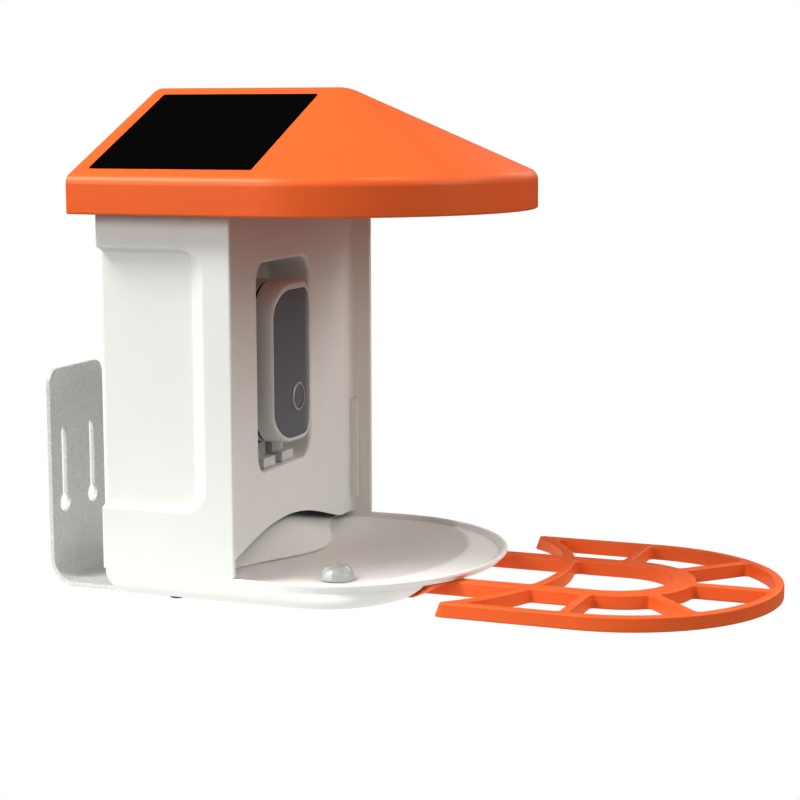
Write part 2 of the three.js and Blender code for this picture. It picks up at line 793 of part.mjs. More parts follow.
function hingeEar(sideSign) {
  const x = sideSign * hinge.stationX;
  const barrel = crossRod(x - hinge.earHalfWidth, x + hinge.earHalfWidth, hingeY, hingeZ, hinge.radius);
  const arm = polygon([
    [bodyBackY - shell.wall, hingeZ - 3 * hinge.radius],
    [hingeY + hinge.radius * 0.6, hingeZ - hinge.radius * 0.8],
    [hingeY, hingeZ + hinge.radius * 0.95],
    [bodyBackY - shell.wall, hingeZ + hinge.radius * 0.95],
  ]);
  return join(barrel, alongX(arm, x - hinge.earHalfWidth, x + hinge.earHalfWidth));
}

function shellBody() {
  const outer = roundedRect(-bodyHalfWidth, bodyHalfWidth, wingFrontY - bodyHalfWidth, bodyBackY, shell.cornerRadius);
  const front = block(-2 * bodyHalfWidth, 2 * bodyHalfWidth, -4 * bodyHalfWidth, wingFrontY,
    baseZ - overrun, bodyTopZ + overrun);
  const inner = block(-innerHalfWidth, innerHalfWidth, -4 * bodyHalfWidth, bodyBackY - shell.wall,
    bodyBottomZ - overrun, bodyTopZ + overrun);
  const cavity = cut(inner, recessTool(-1, shell.wall), recessTool(1, shell.wall));
  const posts = bodyPosts.map(([x, y]) => uprightRod(
    x, y, bodyBottomZ, bodyBottomZ + shell.postHeight, shell.postRadius));
  const pilots = bodyPosts.map(([x, y]) => uprightRod(
    x, y, bodyBottomZ - overrun, bodyBottomZ + shell.postHeight - clearance, baseScrew.radius + clearance / 2));
  const webs = bodyPosts.map(([x, y]) => block(
    Math.min(x, Math.sign(x) * innerHalfWidth), Math.max(x, Math.sign(x) * innerHalfWidth),
    y - shell.wall / 2, y + shell.wall / 2, bodyBottomZ, bodyBottomZ + shell.postHeight));
  const walls = cut(alongZ(outer, bodyBottomZ, bodyTopZ), front, recessTool(-1, 0), recessTool(1, 0), cavity);
  const bores = crossRod(-bodyHalfWidth, bodyHalfWidth, hingeY, hingeZ, hinge.pinRadius + hinge.pinGap);
  return cut(join(walls, ...posts, ...webs, bothSides(guideRib), bothSides(hingeEar)), ...pilots, bores);
}

place('body_shell', shellBody(), materials.whitePlastic);

// Front panel: a sheet with a deep pocket for the camera and a bell-shaped mouth below
const panelHalfWidth = innerHalfWidth - clearance;
const archHalfWidth = bodyHalfWidth - panel.archInset;
const pocketHalfWidth = camera.halfWidth + panel.pocketBeside;
const pocketBottomZ = cameraBottomZ - panel.pocketBelow;
const pocketTopZ = cameraTopZ + panel.pocketAbove;

function archOutline() {
  const points = [[-archHalfWidth, floorZ - overrun]];
  const steps = 3 * coarseArc;
  for (let i = 0; i <= steps; i += 1) {
    const share = -1 + 2 * (i / steps);
    const bell = (Math.cos(Math.PI * share) + 1) / 2;
    points.push([share * archHalfWidth, rimZ + panel.archHeight * bell ** panel.archShare]);
  }
  points.push([archHalfWidth, floorZ - overrun]);
  return polygon(points.reverse());
}

function magnetRods(z0, z1, radius) {
  return [-1, 1].map((sideSign) => uprightRod(sideSign * magnetX, magnetY, z0, z1, radius));
}

function panelBody() {
  const sheet = block(-panelHalfWidth, panelHalfWidth, panelFaceY, panelBackY, bodyBottomZ, bodyTopZ);
  const grow = panel.pocketWall;
  const pocketOuter = roundedRect(-pocketHalfWidth - grow, pocketHalfWidth + grow,
    pocketBottomZ - grow, pocketTopZ + grow, panel.pocketRound + grow);
  const pocketInner = roundedRect(-pocketHalfWidth, pocketHalfWidth,
    pocketBottomZ, pocketTopZ, panel.pocketRound);
  const box = alongY(pocketOuter, panelFaceY, panel.pocketFloorY + grow);
  const flange = block(-flangeHalfWidth, flangeHalfWidth, panelFaceY,
    panelBackY + panel.flangeDepth, bodyTopZ - panel.flangeHeight, bodyTopZ);
  const sockets = magnetRods(bodyTopZ - magnet.height - clearance, bodyTopZ + overrun, magnet.radius + clearance);
  return cut(join(sheet, box, flange),
    alongY(pocketInner, panelFaceY - overrun, panel.pocketFloorY),
    alongY(archOutline(), panelFaceY - overrun, panelBackY + overrun),
    recessTool(-1, shell.wall + clearance), recessTool(1, shell.wall + clearance), ...sockets);
}

function cradleBlocks() {
  const top = cameraBottomZ - clearance;
  return [-1, 1].map((sideSign) => {
    const near = sideSign * cradle.innerX;
    const far = sideSign * (cradle.innerX + cradle.width);
    return block(Math.min(near, far), Math.max(near, far), cradle.frontY, panel.pocketFloorY - clearance,
      pocketBottomZ + clearance, top);
  });
}

place('front_panel', panelBody(), materials.whitePlastic);
placeCopies('lid_magnet', magnetRods(bodyTopZ - magnet.height, bodyTopZ, magnet.radius), materials.brightSteel);
placeCopies('camera_rest', cradleBlocks(), materials.greyPlastic);

// Seed chute: a sloping floor inside the body that swells out through the mouth
function chuteLip(x) {
  return chute.backLipY + (chute.lipY - chute.backLipY) * Math.exp(-((x / chute.bulgeWidth) ** 2));
}

function chuteBody() {
  const halfWidth = innerHalfWidth - clearance;
  const backY = bodyBackY - shell.wall - clearance;
  const rows = [];
  for (let j = 0; j <= chute.stepsDeep; j += 1) {
    const deep = j / chute.stepsDeep;
    const row = [];
    for (let i = 0; i <= chute.stepsAcross; i += 1) {
      const x = halfWidth * (2 * (i / chute.stepsAcross) - 1);
      const lip = chuteLip(x);
      const y = lip + (backY - lip) * deep;
      row.push([x, y, floorZ + clearance + chute.slope * (y - lip)]);
    }
    rows.push(row);
  }
  const across = chute.stepsAcross + 1;
  const top = rows.flat().flatMap(([x, y, z]) => [x, y, z + chute.sheet * 0.6]);
  const low = rows.flat().flatMap(([x, y, z]) => [x, y, Math.max(z - chute.sheet, floorZ + clearance)]);
  const offset = top.length / 3;
  const indices = [];
  for (let j = 0; j < chute.stepsDeep; j += 1) {
    for (let i = 0; i < chute.stepsAcross; i += 1) {
      const a = j * across + i;
      const b = a + 1;
      const c = a + across;
      const d = c + 1;
      indices.push(a, b, d, a, d, c);
      indices.push(offset + a, offset + d, offset + b, offset + a, offset + c, offset + d);
    }
  }
  const rim = [];
  for (let i = 0; i < chute.stepsAcross; i += 1) rim.push(i);
  for (let j = 0; j < chute.stepsDeep; j += 1) rim.push(j * across + chute.stepsAcross);
  for (let i = chute.stepsAcross; i > 0; i -= 1) rim.push(chute.stepsDeep * across + i);
  for (let j = chute.stepsDeep; j > 0; j -= 1) rim.push(j * across);
  rim.forEach((from, k) => {
    const to = rim[(k + 1) % rim.length];
    indices.push(offset + from, offset + to, to, offset + from, to, from);
  });
  const geometry = new THREE.BufferGeometry();
  geometry.setAttribute('position', new THREE.Float32BufferAttribute([...top, ...low], 3));
  geometry.setIndex(indices);
  const room = shell.postRadius + clearance;
  const postHoles = bodyPosts.map(([x, y]) => join(
    uprightRod(x, y, baseZ, bodyTopZ, room),
    block(Math.min(x, Math.sign(x) * bodyHalfWidth), Math.max(x, Math.sign(x) * bodyHalfWidth),
      y - room, y + room, baseZ, bodyTopZ)));
  return cut(solid(geometry), ...postHoles);
}

place('seed_chute', chuteBody(), materials.whitePlastic);

// Roof: two straight slopes that end in half a cone, over an upright skirt
const roofTilt = THREE.MathUtils.degToRad(roof.slopeDegrees);
const roofSlope = Math.tan(roofTilt);
const apexZ = bodyTopZ + roof.eaveRise + roofHalfWidth * roofSlope;

function slopeZ(x) {
  return apexZ - roofSlope * Math.abs(x);
}

// Half of the roof's section, from the ridge out and down to the skirt's edge.
function roofProfile(inset, bottomZ) {
  const topZ = apexZ - inset / Math.cos(roofTilt);
  const halfWidth = roofHalfWidth - inset;
  const eaveRadius = roof.eaveRadius - inset;
  const ridgeRadius = roof.ridgeRadius - inset;
  const ridgeCentre = topZ - ridgeRadius / Math.cos(roofTilt);
  const eaveX = halfWidth - eaveRadius;
  const eaveZ = topZ - roofSlope * eaveX - eaveRadius / Math.cos(roofTilt);
  const points = [];
  for (let i = 0; i <= 3; i += 1) {
    const angle = roofTilt * (i / 3);
    points.push([ridgeRadius * Math.sin(angle), ridgeCentre + ridgeRadius * Math.cos(angle)]);
  }
  for (let i = 0; i <= coarseArc; i += 1) {
    const angle = roofTilt + (Math.PI / 2 - roofTilt) * (i / coarseArc);
    points.push([eaveX + eaveRadius * Math.sin(angle), eaveZ + eaveRadius * Math.cos(angle)]);
  }
  points.push([halfWidth, bottomZ]);
  return points;
}

function roofForm(inset, bottomZ) {
  const half = roofProfile(inset, bottomZ);
  const mirrored = half.slice(1).reverse().map(([x, z]) => [-x, z]);
  const gable = alongY(polygon([...mirrored, ...half].reverse()), roundCentreY, roofBackY - inset);
  const cone = turned([[0, bottomZ], ...half.slice().reverse()], 0, roundCentreY, 8 * fineArc);
  const frontHalf = block(-2 * roofHalfWidth, 2 * roofHalfWidth, -4 * roofHalfWidth,
    roundCentreY + clearance, bottomZ - overrun, apexZ + overrun);
  return join(gable, cone.intersect(frontHalf));
}

// Places a solid made flat round the origin on the left slope, where the solar panel lies.
const solarX = -(solar.topX + (solar.width / 2) * Math.cos(roofTilt));

function onLeftSlope(geometry) {
  geometry.rotateY(-roofTilt);
  geometry.translate(solarX, solar.centreY, slopeZ(solarX));
  return solid(geometry);
}

function slab(edgeX, edgeY, low, high) {
  const geometry = new THREE.BoxGeometry(edgeX, edgeY, high - low);
  geometry.translate(0, 0, (low + high) / 2);
  return onLeftSlope(geometry);
}

const keeperBottomZ = bodyTopZ + clearance;
const ribInnerX = Math.max(magnetX - magnet.bossRadius, solar.boxWidth / 2 + clearance - solarX);

function roofBody() {
  const outer = roofForm(0, skirtBottomZ);
  const inner = roofForm(roof.wall, skirtBottomZ - overrun);
  const recess = slab(solar.width + 2 * solar.border, solar.width + 2 * solar.border, -solar.recess, overrun);
  const cableHole = new THREE.CylinderGeometry(
    solar.cableHoleRadius, solar.cableHoleRadius, 4 * roof.wall, 2 * fineArc);
  cableHole.rotateX(Math.PI / 2);
  const ribs = [];
  for (const sideSign of [-1, 1]) {
    for (const y of [roof.ribFrontY, roof.ribBackY]) {
      const near = sideSign * ribInnerX;
      const far = sideSign * (roofHalfWidth - roof.wall / 2);
      ribs.push(block(Math.min(near, far), Math.max(near, far), y - roof.ribThickness / 2,
        y + roof.ribThickness / 2, keeperBottomZ, apexZ));
    }
  }
  const bosses = magnetRods(keeperBottomZ, apexZ, magnet.bossRadius);
  const sockets = magnetRods(keeperBottomZ - overrun, keeperBottomZ + magnet.keeperHeight + clearance,
    magnet.radius + clearance);
  const inside = roofForm(roof.wall / 2, skirtBottomZ);
  const notches = bothSides((sideSign) => {
    const half = hinge.earHalfWidth + hinge.gap;
    const x = sideSign * hinge.stationX;
    return block(x - half, x + half, bodyBackY, roofBackY + 2 * overrun,
      skirtBottomZ - overrun, hingeZ + hinge.radius + 2 * hinge.gap);
  });
  const pinBore = crossRod(-bodyHalfWidth, bodyHalfWidth, hingeY, hingeZ, hinge.pinRadius + hinge.pinGap);
  const fittings = join(...ribs, ...bosses).intersect(inside);
  const whole = join(cut(outer, inner), fittings, knuckles());
  return cut(whole, recess, onLeftSlope(cableHole), ...sockets, notches, pinBore);
}

function knuckles() {
  const solids = [];
  for (const station of [-hinge.stationX, hinge.stationX]) {
    for (const sideSign of [-1, 1]) {
      const near = station + sideSign * (hinge.earHalfWidth + hinge.gap);
      const far = near + sideSign * hinge.knuckle;
      solids.push(crossRod(Math.min(near, far), Math.max(near, far), hingeY, hingeZ, hinge.radius));
    }
  }
  return join(...solids);
}

function hingePin(station) {
  const reach = hinge.earHalfWidth + hinge.gap + hinge.knuckle;
  return crossRod(station - reach, station + reach, hingeY, hingeZ, hinge.pinRadius);
}

function junctionBox() {
  const top = -roof.wall - clearance;
  const bottom = top - solar.boxHeight;
  const outer = slab(solar.boxWidth, solar.boxLength, bottom, top);
  const inner = slab(solar.boxWidth - 2 * solar.boxWall, solar.boxLength - 2 * solar.boxWall,
    bottom + solar.boxWall, top + overrun);
  return cut(outer, inner, glandRod(solar.glandRadius * 0.6, overrun));
}

function glandRod(radius, extra) {
  const length = solar.glandLength + extra;
  const geometry = new THREE.CylinderGeometry(radius, radius, length, 2 * fineArc);
  const start = -solar.boxLength / 2 - clearance;
  geometry.translate(0, start - solar.glandLength / 2 + extra / 2, -roof.wall - clearance - solar.boxHeight / 2);
  return onLeftSlope(geometry);
}

function glandBody() {
  return cut(glandRod(solar.glandRadius, 0), glandRod(solar.glandRadius / 2, 2 * overrun));
}

place('roof_shell', roofBody(), materials.orangePlastic);
place('solar_panel', slab(solar.width, solar.width, clearance / 2 - solar.recess, solar.sheet - solar.recess),
  materials.solarGlass);
place('solar_junction_box', junctionBox(), materials.blackPlastic);
place('solar_cable_gland', glandBody(), materials.blackRubber);
placeCopies('lid_keeper', magnetRods(keeperBottomZ, keeperBottomZ + magnet.keeperHeight, magnet.radius),
  materials.brightSteel);
place('hinge_pin_left', hingePin(-hinge.stationX), materials.brightSteel);
place('hinge_pin_right', hingePin(hinge.stationX), materials.brightSteel);

// Camera unit: a rear cup and a front bezel that close on a seal, a bowed dark window and a button
function cameraOutline(inset) {
  return roundedRect(inset - camera.halfWidth, camera.halfWidth - inset,
    cameraBottomZ + inset, cameraTopZ - inset, camera.round - inset);
}

function windowOutline(grow) {
  return roundedRect(-windowHalfWidth - grow, windowHalfWidth + grow,
    cameraBottomZ + camera.windowBelow - grow, cameraTopZ - camera.windowAbove + grow,
    camera.windowRound + grow);
}

const bowRadius = (windowHalfWidth ** 2 + camera.bulge ** 2) / (2 * camera.bulge);
const buttonZ = cameraMiddleZ - button.drop;
const buttonFrontY = cameraFrontY - camera.bulge;
const bowCentreY = buttonFrontY + bowRadius;

// Everything that lies behind the bowed front, sunk in by a depth.
function behindBow(depth) {
  return uprightRod(0, bowCentreY, baseZ, bodyTopZ, bowRadius - depth, 10 * fineArc);
}

function bezelBody() {
  const frontY = cameraFrontY - 2 * camera.bulge;
  const outer = alongY(cameraOutline(0), frontY, splitY - camera.sealHeight / 2).intersect(behindBow(0));
  const inner = alongY(cameraOutline(camera.wall), bowCentreY - bowRadius + camera.bulge + 2 * camera.windowSheet,
    splitY + overrun);
  const windowSeat = cut(alongY(windowOutline(clearance / 2), frontY - overrun, splitY),
    behindBow(camera.windowSheet + clearance));
  const light = alongY(windowOutline(-camera.ledge), frontY - overrun, splitY + overrun);
  const bosses = cameraScrewPlaces.map(([x, z]) => levelRod(
    x, z, bowCentreY - bowRadius + camera.bulge + camera.windowSheet + 2 * clearance,
    boardFrontY - clearance / 2, cameraScrew.bossRadius));
  const bores = cameraScrewPlaces.map(([x, z]) => levelRod(
    x, z, cameraScrewTipY - clearance, splitY + overrun, cameraScrew.radius + clearance / 2));
  return cut(join(cut(outer, inner, windowSeat, light), ...bosses), ...bores);
}

function rearShellBody() {
  const outer = alongY(cameraOutline(0), splitY + camera.sealHeight / 2, cameraBackY);
  const inner = alongY(cameraOutline(camera.wall), splitY - overrun, cameraBackY - camera.wall);
  const bosses = cameraScrewPlaces.map(([x, z]) => levelRod(
    x, z, boardFrontY + board.sheet + clearance / 2, cameraBackY, cameraScrew.bossRadius));
  const bores = cameraScrewPlaces.map(([x, z]) => join(
    levelRod(x, z, splitY - overrun, cameraBackY + overrun, cameraScrew.radius + clearance),
    levelRod(x, z, cameraBackY - cameraScrew.headHeight, cameraBackY + overrun,
      cameraScrew.headRadius + clearance)));
  return cut(join(cut(outer, inner), ...bosses), ...bores, portTool(clearance));
}

const cameraScrewHeadY = cameraBackY - cameraScrew.headHeight + clearance / 2;
const cameraScrewTipY = cameraScrewHeadY - cameraScrew.length;
const cameraScrewPlaces = [];
for (const x of [cameraScrew.inset - camera.halfWidth, camera.halfWidth - cameraScrew.inset]) {
  for (const z of [cameraBottomZ + cameraScrew.inset, cameraTopZ - cameraScrew.inset]) {
    cameraScrewPlaces.push([x, z]);
  }
}

function cameraScrews() {
  return cameraScrewPlaces.map(([x, z]) => join(
    levelRod(x, z, cameraScrewHeadY, cameraBackY - clearance / 2, cameraScrew.headRadius),
    levelRod(x, z, cameraScrewTipY, cameraScrewHeadY + clearance, cameraScrew.radius)));
}

function portTool(grow) {
  const y = cameraBackY - portPlug.backInset;
  return block(-portPlug.width / 2 - grow, portPlug.width / 2 + grow,
    y - portPlug.depth / 2 - grow, y + portPlug.depth / 2 + grow,
    cameraBottomZ - overrun, cameraBottomZ + camera.wall + overrun);
}

function portPlugBody() {
  const y = cameraBackY - portPlug.backInset;
  const halfWidth = portPlug.width / 2;
  const halfDepth = portPlug.depth / 2;
  return block(-halfWidth, halfWidth, y - halfDepth, y + halfDepth,
    cameraBottomZ + clearance, cameraBottomZ + clearance + portPlug.height);
}

function chargeSocket() {
  const halfWidth = portPlug.width / 2;
  const bottom = cameraBottomZ + portPlug.height + 2 * clearance;
  return block(-halfWidth, halfWidth, boardFrontY + board.sheet + clearance / 2,
    cameraBackY - portPlug.backInset + portPlug.depth / 2, bottom, bottom + portPlug.socketHeight);
}

function sealBody() {
  const half = camera.sealHeight / 2 - clearance / 2;
  const outline = alongY(cameraOutline(clearance), splitY - half, splitY + half);
  return cut(outline, alongY(cameraOutline(camera.wall), splitY - overrun, splitY + overrun));
}

function windowBody() {
  const sheet = alongY(windowOutline(0), cameraFrontY - 2 * camera.bulge, splitY)
    .intersect(behindBow(0));
  const hole = levelRod(0, buttonZ, cameraFrontY - 4 * camera.bulge, splitY,
    button.ringRadius + clearance / 2, 4 * fineArc);
  return cut(sheet, behindBow(camera.windowSheet), hole);
}

function buttonRing() {
  const body = levelRod(0, buttonZ, buttonFrontY - button.ringProud, buttonFrontY + camera.windowSheet,
    button.ringRadius, 4 * fineArc);
  return cut(body, levelRod(0, buttonZ, buttonFrontY - overrun, buttonFrontY + overrun,
    button.ringRadius - button.ringWidth, 4 * fineArc));
}

function buttonCap() {
  const radius = button.ringRadius - button.ringWidth - button.capGap;
  const cap = levelRod(0, buttonZ, buttonFrontY, buttonFrontY + button.capSheet, radius, 4 * fineArc);
  const stemEnd = boardFrontY - button.switchHeight - clearance - button.travel;
  return join(cap, levelRod(0, buttonZ, buttonFrontY + button.capSheet / 2, stemEnd, button.stemRadius));
}

function buttonSwitch() {
  const half = button.switchWidth / 2;
  return block(-half, half, boardFrontY - button.switchHeight, boardFrontY - clearance / 2,
    buttonZ - half, buttonZ + half);
}

function boardBody() {
  const outline = roundedRect(board.margin - camera.halfWidth, camera.halfWidth - board.margin,
    cameraBottomZ + board.margin, cameraTopZ - board.margin, camera.round - board.margin);
  const holes = cameraScrewPlaces.map(([x, z]) => levelRod(
    x, z, boardFrontY - overrun, boardFrontY + board.sheet + overrun, cameraScrew.radius + clearance));
  return cut(alongY(outline, boardFrontY, boardFrontY + board.sheet), ...holes);
}

const lensFrontY = buttonFrontY + camera.windowSheet + lens.behindWindow;

function lensBarrel() {
  const z = cameraMiddleZ + lens.rise;
  const barrel = levelRod(0, z, lensFrontY, boardFrontY - clearance / 2, lens.radius);
  return cut(barrel, levelRod(0, z, lensFrontY - overrun, lensFrontY + lens.glassHeight,
    lens.glassRadius + clearance / 2));
}

function lensGlass() {
  const z = cameraMiddleZ + lens.rise;
  return levelRod(0, z, lensFrontY, lensFrontY + lens.glassHeight - clearance / 2, lens.glassRadius);
}

function batteryBody() {
  const y0 = boardFrontY + board.sheet + battery.gapBehindBoard;
  const outline = roundedRect(-battery.halfWidth, battery.halfWidth,
    cameraBottomZ + battery.below, cameraTopZ - battery.above, battery.gapBehindBoard * 2);
  return alongY(outline, y0, y0 + battery.thickness);
}

place('camera_bezel', bezelBody(), materials.greyPlastic);
place('camera_rear_shell', rearShellBody(), materials.greyPlastic);
place('camera_seal', sealBody(), materials.blackRubber);
place('camera_window', windowBody(), materials.smokedWindow);
place('camera_lens_barrel', lensBarrel(), materials.blackPlastic);
place('camera_lens_glass', lensGlass(), materials.solarGlass);
place('camera_board', boardBody(), materials.boardGreen);
place('camera_battery', batteryBody(), materials.batteryWrap);
place('camera_speaker', levelRod(speaker.x, cameraMiddleZ + speaker.rise, boardFrontY - clearance / 2 - speaker.thickness,
  boardFrontY - clearance / 2, speaker.radius), materials.blackPlastic);
place('motion_sensor', levelRod(motionSensor.x, cameraMiddleZ + motionSensor.rise,
  boardFrontY - clearance / 2 - motionSensor.depth, boardFrontY - clearance / 2, motionSensor.radius),
materials.clearPlastic);
placeCopies('camera_screw', cameraScrews(), materials.brightSteel);
place('charge_port_plug', portPlugBody(), materials.blackRubber);
place('charge_socket', chargeSocket(), materials.brightSteel);
place('button_ring', buttonRing(), materials.brightSteel);
place('button_cap', buttonCap(), materials.smokedWindow);
place('button_switch', buttonSwitch(), materials.blackPlastic);

export default feeder;
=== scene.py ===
import json
import math

import bmesh
import bpy
from mathutils import Matrix, Vector


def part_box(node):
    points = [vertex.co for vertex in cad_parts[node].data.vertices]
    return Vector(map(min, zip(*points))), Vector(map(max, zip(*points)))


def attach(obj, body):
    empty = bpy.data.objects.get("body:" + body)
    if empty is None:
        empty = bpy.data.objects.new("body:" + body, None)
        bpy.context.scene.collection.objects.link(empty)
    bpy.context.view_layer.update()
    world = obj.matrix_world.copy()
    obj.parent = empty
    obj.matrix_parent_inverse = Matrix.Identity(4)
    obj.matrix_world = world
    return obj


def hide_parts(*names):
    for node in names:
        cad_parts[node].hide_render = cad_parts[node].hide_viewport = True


# The looks of the bird feeder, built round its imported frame. Sizes below are in millimetres,
# in the frame's own axes: X across, -Y to the front, Z up from the bracket's underside.

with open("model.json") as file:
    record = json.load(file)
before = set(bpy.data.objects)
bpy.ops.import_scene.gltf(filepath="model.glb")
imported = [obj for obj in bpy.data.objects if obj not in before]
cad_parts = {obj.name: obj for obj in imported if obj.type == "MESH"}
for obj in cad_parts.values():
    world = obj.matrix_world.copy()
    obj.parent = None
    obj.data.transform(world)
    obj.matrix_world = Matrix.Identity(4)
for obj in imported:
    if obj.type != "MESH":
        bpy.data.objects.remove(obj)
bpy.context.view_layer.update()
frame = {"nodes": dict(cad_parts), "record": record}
millimetre = 0.001
touch = 0.01  # places nearer than this count as one
print("frame loaded")


# Small helpers

def nodeBox(name):
    low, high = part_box(name)
    return low / millimetre, high / millimetre


def linearColour(hexText):
    channels = [int(hexText[i:i + 2], 16) / 255 for i in (1, 3, 5)]
    return [c / 12.92 if c <= 0.04045 else ((c + 0.055) / 1.055) ** 2.4 for c in channels] + [1.0]


def setNode(tree, node, links=None, **settings):
    # in_ marks a socket, by its name with _ for each space, or by its number.
    for name, value in settings.items():
        if name.startswith("in_"):
            key = name[3:].replace("_", " ")
            node.inputs[int(key) if key.isdigit() else key].default_value = value
        else:
            setattr(node, name, value)
    for socket, source in (links or {}).items():
        tree.links.new(source, node.inputs[socket])
    return node


def addNode(tree, kind, links=None, **settings):
    return setNode(tree, tree.nodes.new(kind), links, **settings)


def newMaterial(name):
    material = bpy.data.materials.new(name)
    material.use_nodes = True
    tree = material.node_tree
    place = addNode(tree, "ShaderNodeTexCoord").outputs["Object"]
    return material, tree, tree.nodes["Principled BSDF"], place


def perMetre(size):
    return 1 / (size * millimetre)  # a texture's scale for a pattern of this size


def addObject(name, data):
    thing = bpy.data.objects.new(name, data)
    bpy.context.scene.collection.objects.link(thing)
    return thing


def arcPoints(centre, radius, start, end, steps):
    turns = [math.radians(start + (end - start) * i / steps) for i in range(steps + 1)]
    return [(centre[0] + radius * math.cos(a), centre[1] + radius * math.sin(a)) for a in turns]


def addLoop(mesh, points, closed=True):
    verts = [mesh.verts.new(p) for p in points]
    ends = verts[1:] + (verts[:1] if closed else [])
    for a, b in zip(verts, ends):
        mesh.edges.new((a, b))
    return verts


def addHole(mesh, centre, radius, z):
    return addLoop(mesh, [(x, y, z) for x, y in arcPoints(centre, radius, 0, 345, 23)])  # 24 points


def addFace(mesh, points):
    return mesh.faces.new([mesh.verts.new(p) for p in points])


def edgesWhere(mesh, test):
    return [e for e in mesh.edges if all(test(v) for v in e.verts)]


def ringEdges(mesh, ring):
    return [mesh.edges.get(pair) for pair in zip(ring, ring[1:] + ring[:1])]


def grownVerts(grown):
    return [g for g in grown["geom"] if isinstance(g, bmesh.types.BMVert)]


def bevel(mesh, geometry, width, steps, affect="EDGES"):
    bmesh.ops.bevel(mesh, geom=geometry, offset=width, offset_type="OFFSET", segments=steps, profile=0.5,
                    affect=affect, clamp_overlap=False, material=-1)


def roundCorner(mesh, point, radius, steps=8):
    vert = min(mesh.verts, key=lambda v: (v.co - Vector(point)).length)
    a, b = [e.other_vert(vert).co - vert.co for e in vert.link_edges[:2]]
    bevel(mesh, [vert], radius / math.tan(a.angle(b) / 2), steps, "VERTICES")


def bevelSharp(mesh, width, steps=2, angle=30, pick=None):
    mesh.normal_update()
    sharp = [e for e in mesh.edges if len(e.link_faces) == 2 and e.calc_face_angle(0) > math.radians(angle)]
    bevel(mesh, [e for e in sharp if pick is None or pick(e)], width, steps)


def turnOut(mesh, inside=None, way=None):
    # All faces turn from the point inside, or the way given.
    bmesh.ops.recalc_face_normals(mesh, faces=mesh.faces)
    mesh.normal_update()
    lean = 0
    for face in mesh.faces:
        out = Vector(way) if way else face.calc_center_median() - Vector(inside)
        lean += out.dot(face.normal) * face.calc_area()
    if lean < 0:
        bmesh.ops.reverse_faces(mesh, faces=mesh.faces)
    mesh.normal_update()


def thicken(mesh, wall):
    bmesh.ops.solidify(mesh, geom=mesh.faces[:], thickness=wall)
    mesh.normal_update()


def fillBetween(mesh, edges=None, normal=(0, 0, 1)):
    if edges is None:
        bmesh.ops.delete(mesh, geom=mesh.faces[:], context="FACES_ONLY")
        edges = mesh.edges[:]
    bmesh.ops.triangle_fill(mesh, use_beauty=True, use_dissolve=False, edges=edges, normal=normal)


def raiseFaces(mesh, way):
    grown = bmesh.ops.extrude_face_region(mesh, geom=mesh.faces[:])
    bmesh.ops.translate(mesh, vec=way, verts=grownVerts(grown))
    bmesh.ops.recalc_face_normals(mesh, faces=mesh.faces)


def growRing(mesh, ring, places):
    grown = bmesh.ops.extrude_edge_only(mesh, edges=[e for e in ringEdges(mesh, ring) if e])
    fresh = set(grownVerts(grown))
    after = [next(e.other_vert(v) for e in v.link_edges if e.other_vert(v) in fresh) for v in ring]
    for vert, place in zip(after, places):
        vert.co = place
    return after


def mirrorAcross(mesh):
    everything = mesh.verts[:] + mesh.edges[:] + mesh.faces[:]
    bmesh.ops.mirror(mesh, geom=everything, axis="X", merge_dist=0.001)


def sliceAt(mesh, point, normal, pick=None):
    faces = [f for f in mesh.faces if pick is None or pick(f)]
    geometry = set(faces)
    for face in faces:
        geometry.update(face.edges)
        geometry.update(face.verts)
    bmesh.ops.bisect_plane(mesh, geom=list(geometry), dist=1e-4, plane_co=point, plane_no=normal)


def cutAway(mesh, test):
    cut = [f for f in mesh.faces if test(f.calc_center_median())]
    bmesh.ops.delete(mesh, geom=cut, context="FACES")


def joinInto(mesh, part):
    carrier = bpy.data.meshes.new("carrier")
    part.to_mesh(carrier)
    part.free()
    mesh.from_mesh(carrier)
    bpy.data.meshes.remove(carrier)


def addBlock(mesh, low, high, edge=0.3):
    part = bmesh.new()
    bmesh.ops.create_cube(part, size=1)
    bmesh.ops.scale(part, vec=[h - l for l, h in zip(low, high)], verts=part.verts)
    bmesh.ops.translate(part, vec=[(h + l) / 2 for l, h in zip(low, high)], verts=part.verts)
    bevelSharp(part, edge)
    joinInto(mesh, part)


def addPrism(mesh, points, way, edge=0.3):
    part = bmesh.new()
    addFace(part, points)
    raiseFaces(part, way)
    bevelSharp(part, edge)
    joinInto(mesh, part)


def addTurned(mesh, profile, centre, axis="Z", steps=32, edge=0.0, closed=False):
    # The profile holds (radius, distance along the axis) pairs.
    part = bmesh.new()
    verts = addLoop(part, [(r, 0, z) for r, z in profile], closed)
    bmesh.ops.spin(part, geom=verts + part.edges[:], cent=(0, 0, 0), axis=(0, 0, 1), angle=2 * math.pi,
                   steps=steps, use_merge=True, use_duplicate=False)
    bmesh.ops.remove_doubles(part, verts=part.verts, dist=1e-4)
    bmesh.ops.recalc_face_normals(part, faces=part.faces)
    if edge:
        bevelSharp(part, edge, angle=40)
    turn = {"Z": Matrix(), "X": Matrix.Rotation(math.pi / 2, 4, "Y"), "Y": Matrix.Rotation(-math.pi / 2, 4, "X")}
    bmesh.ops.transform(part, matrix=turn[axis], verts=part.verts)
    bmesh.ops.translate(part, vec=centre, verts=part.verts)
    joinInto(mesh, part)


def addTube(mesh, bore, radius, low, high, centre, axis="Z", steps=32):
    ring = [(bore, low), (radius, low), (radius, high), (bore, high)]
    addTurned(mesh, ring, centre, axis, steps, 0.3, True)


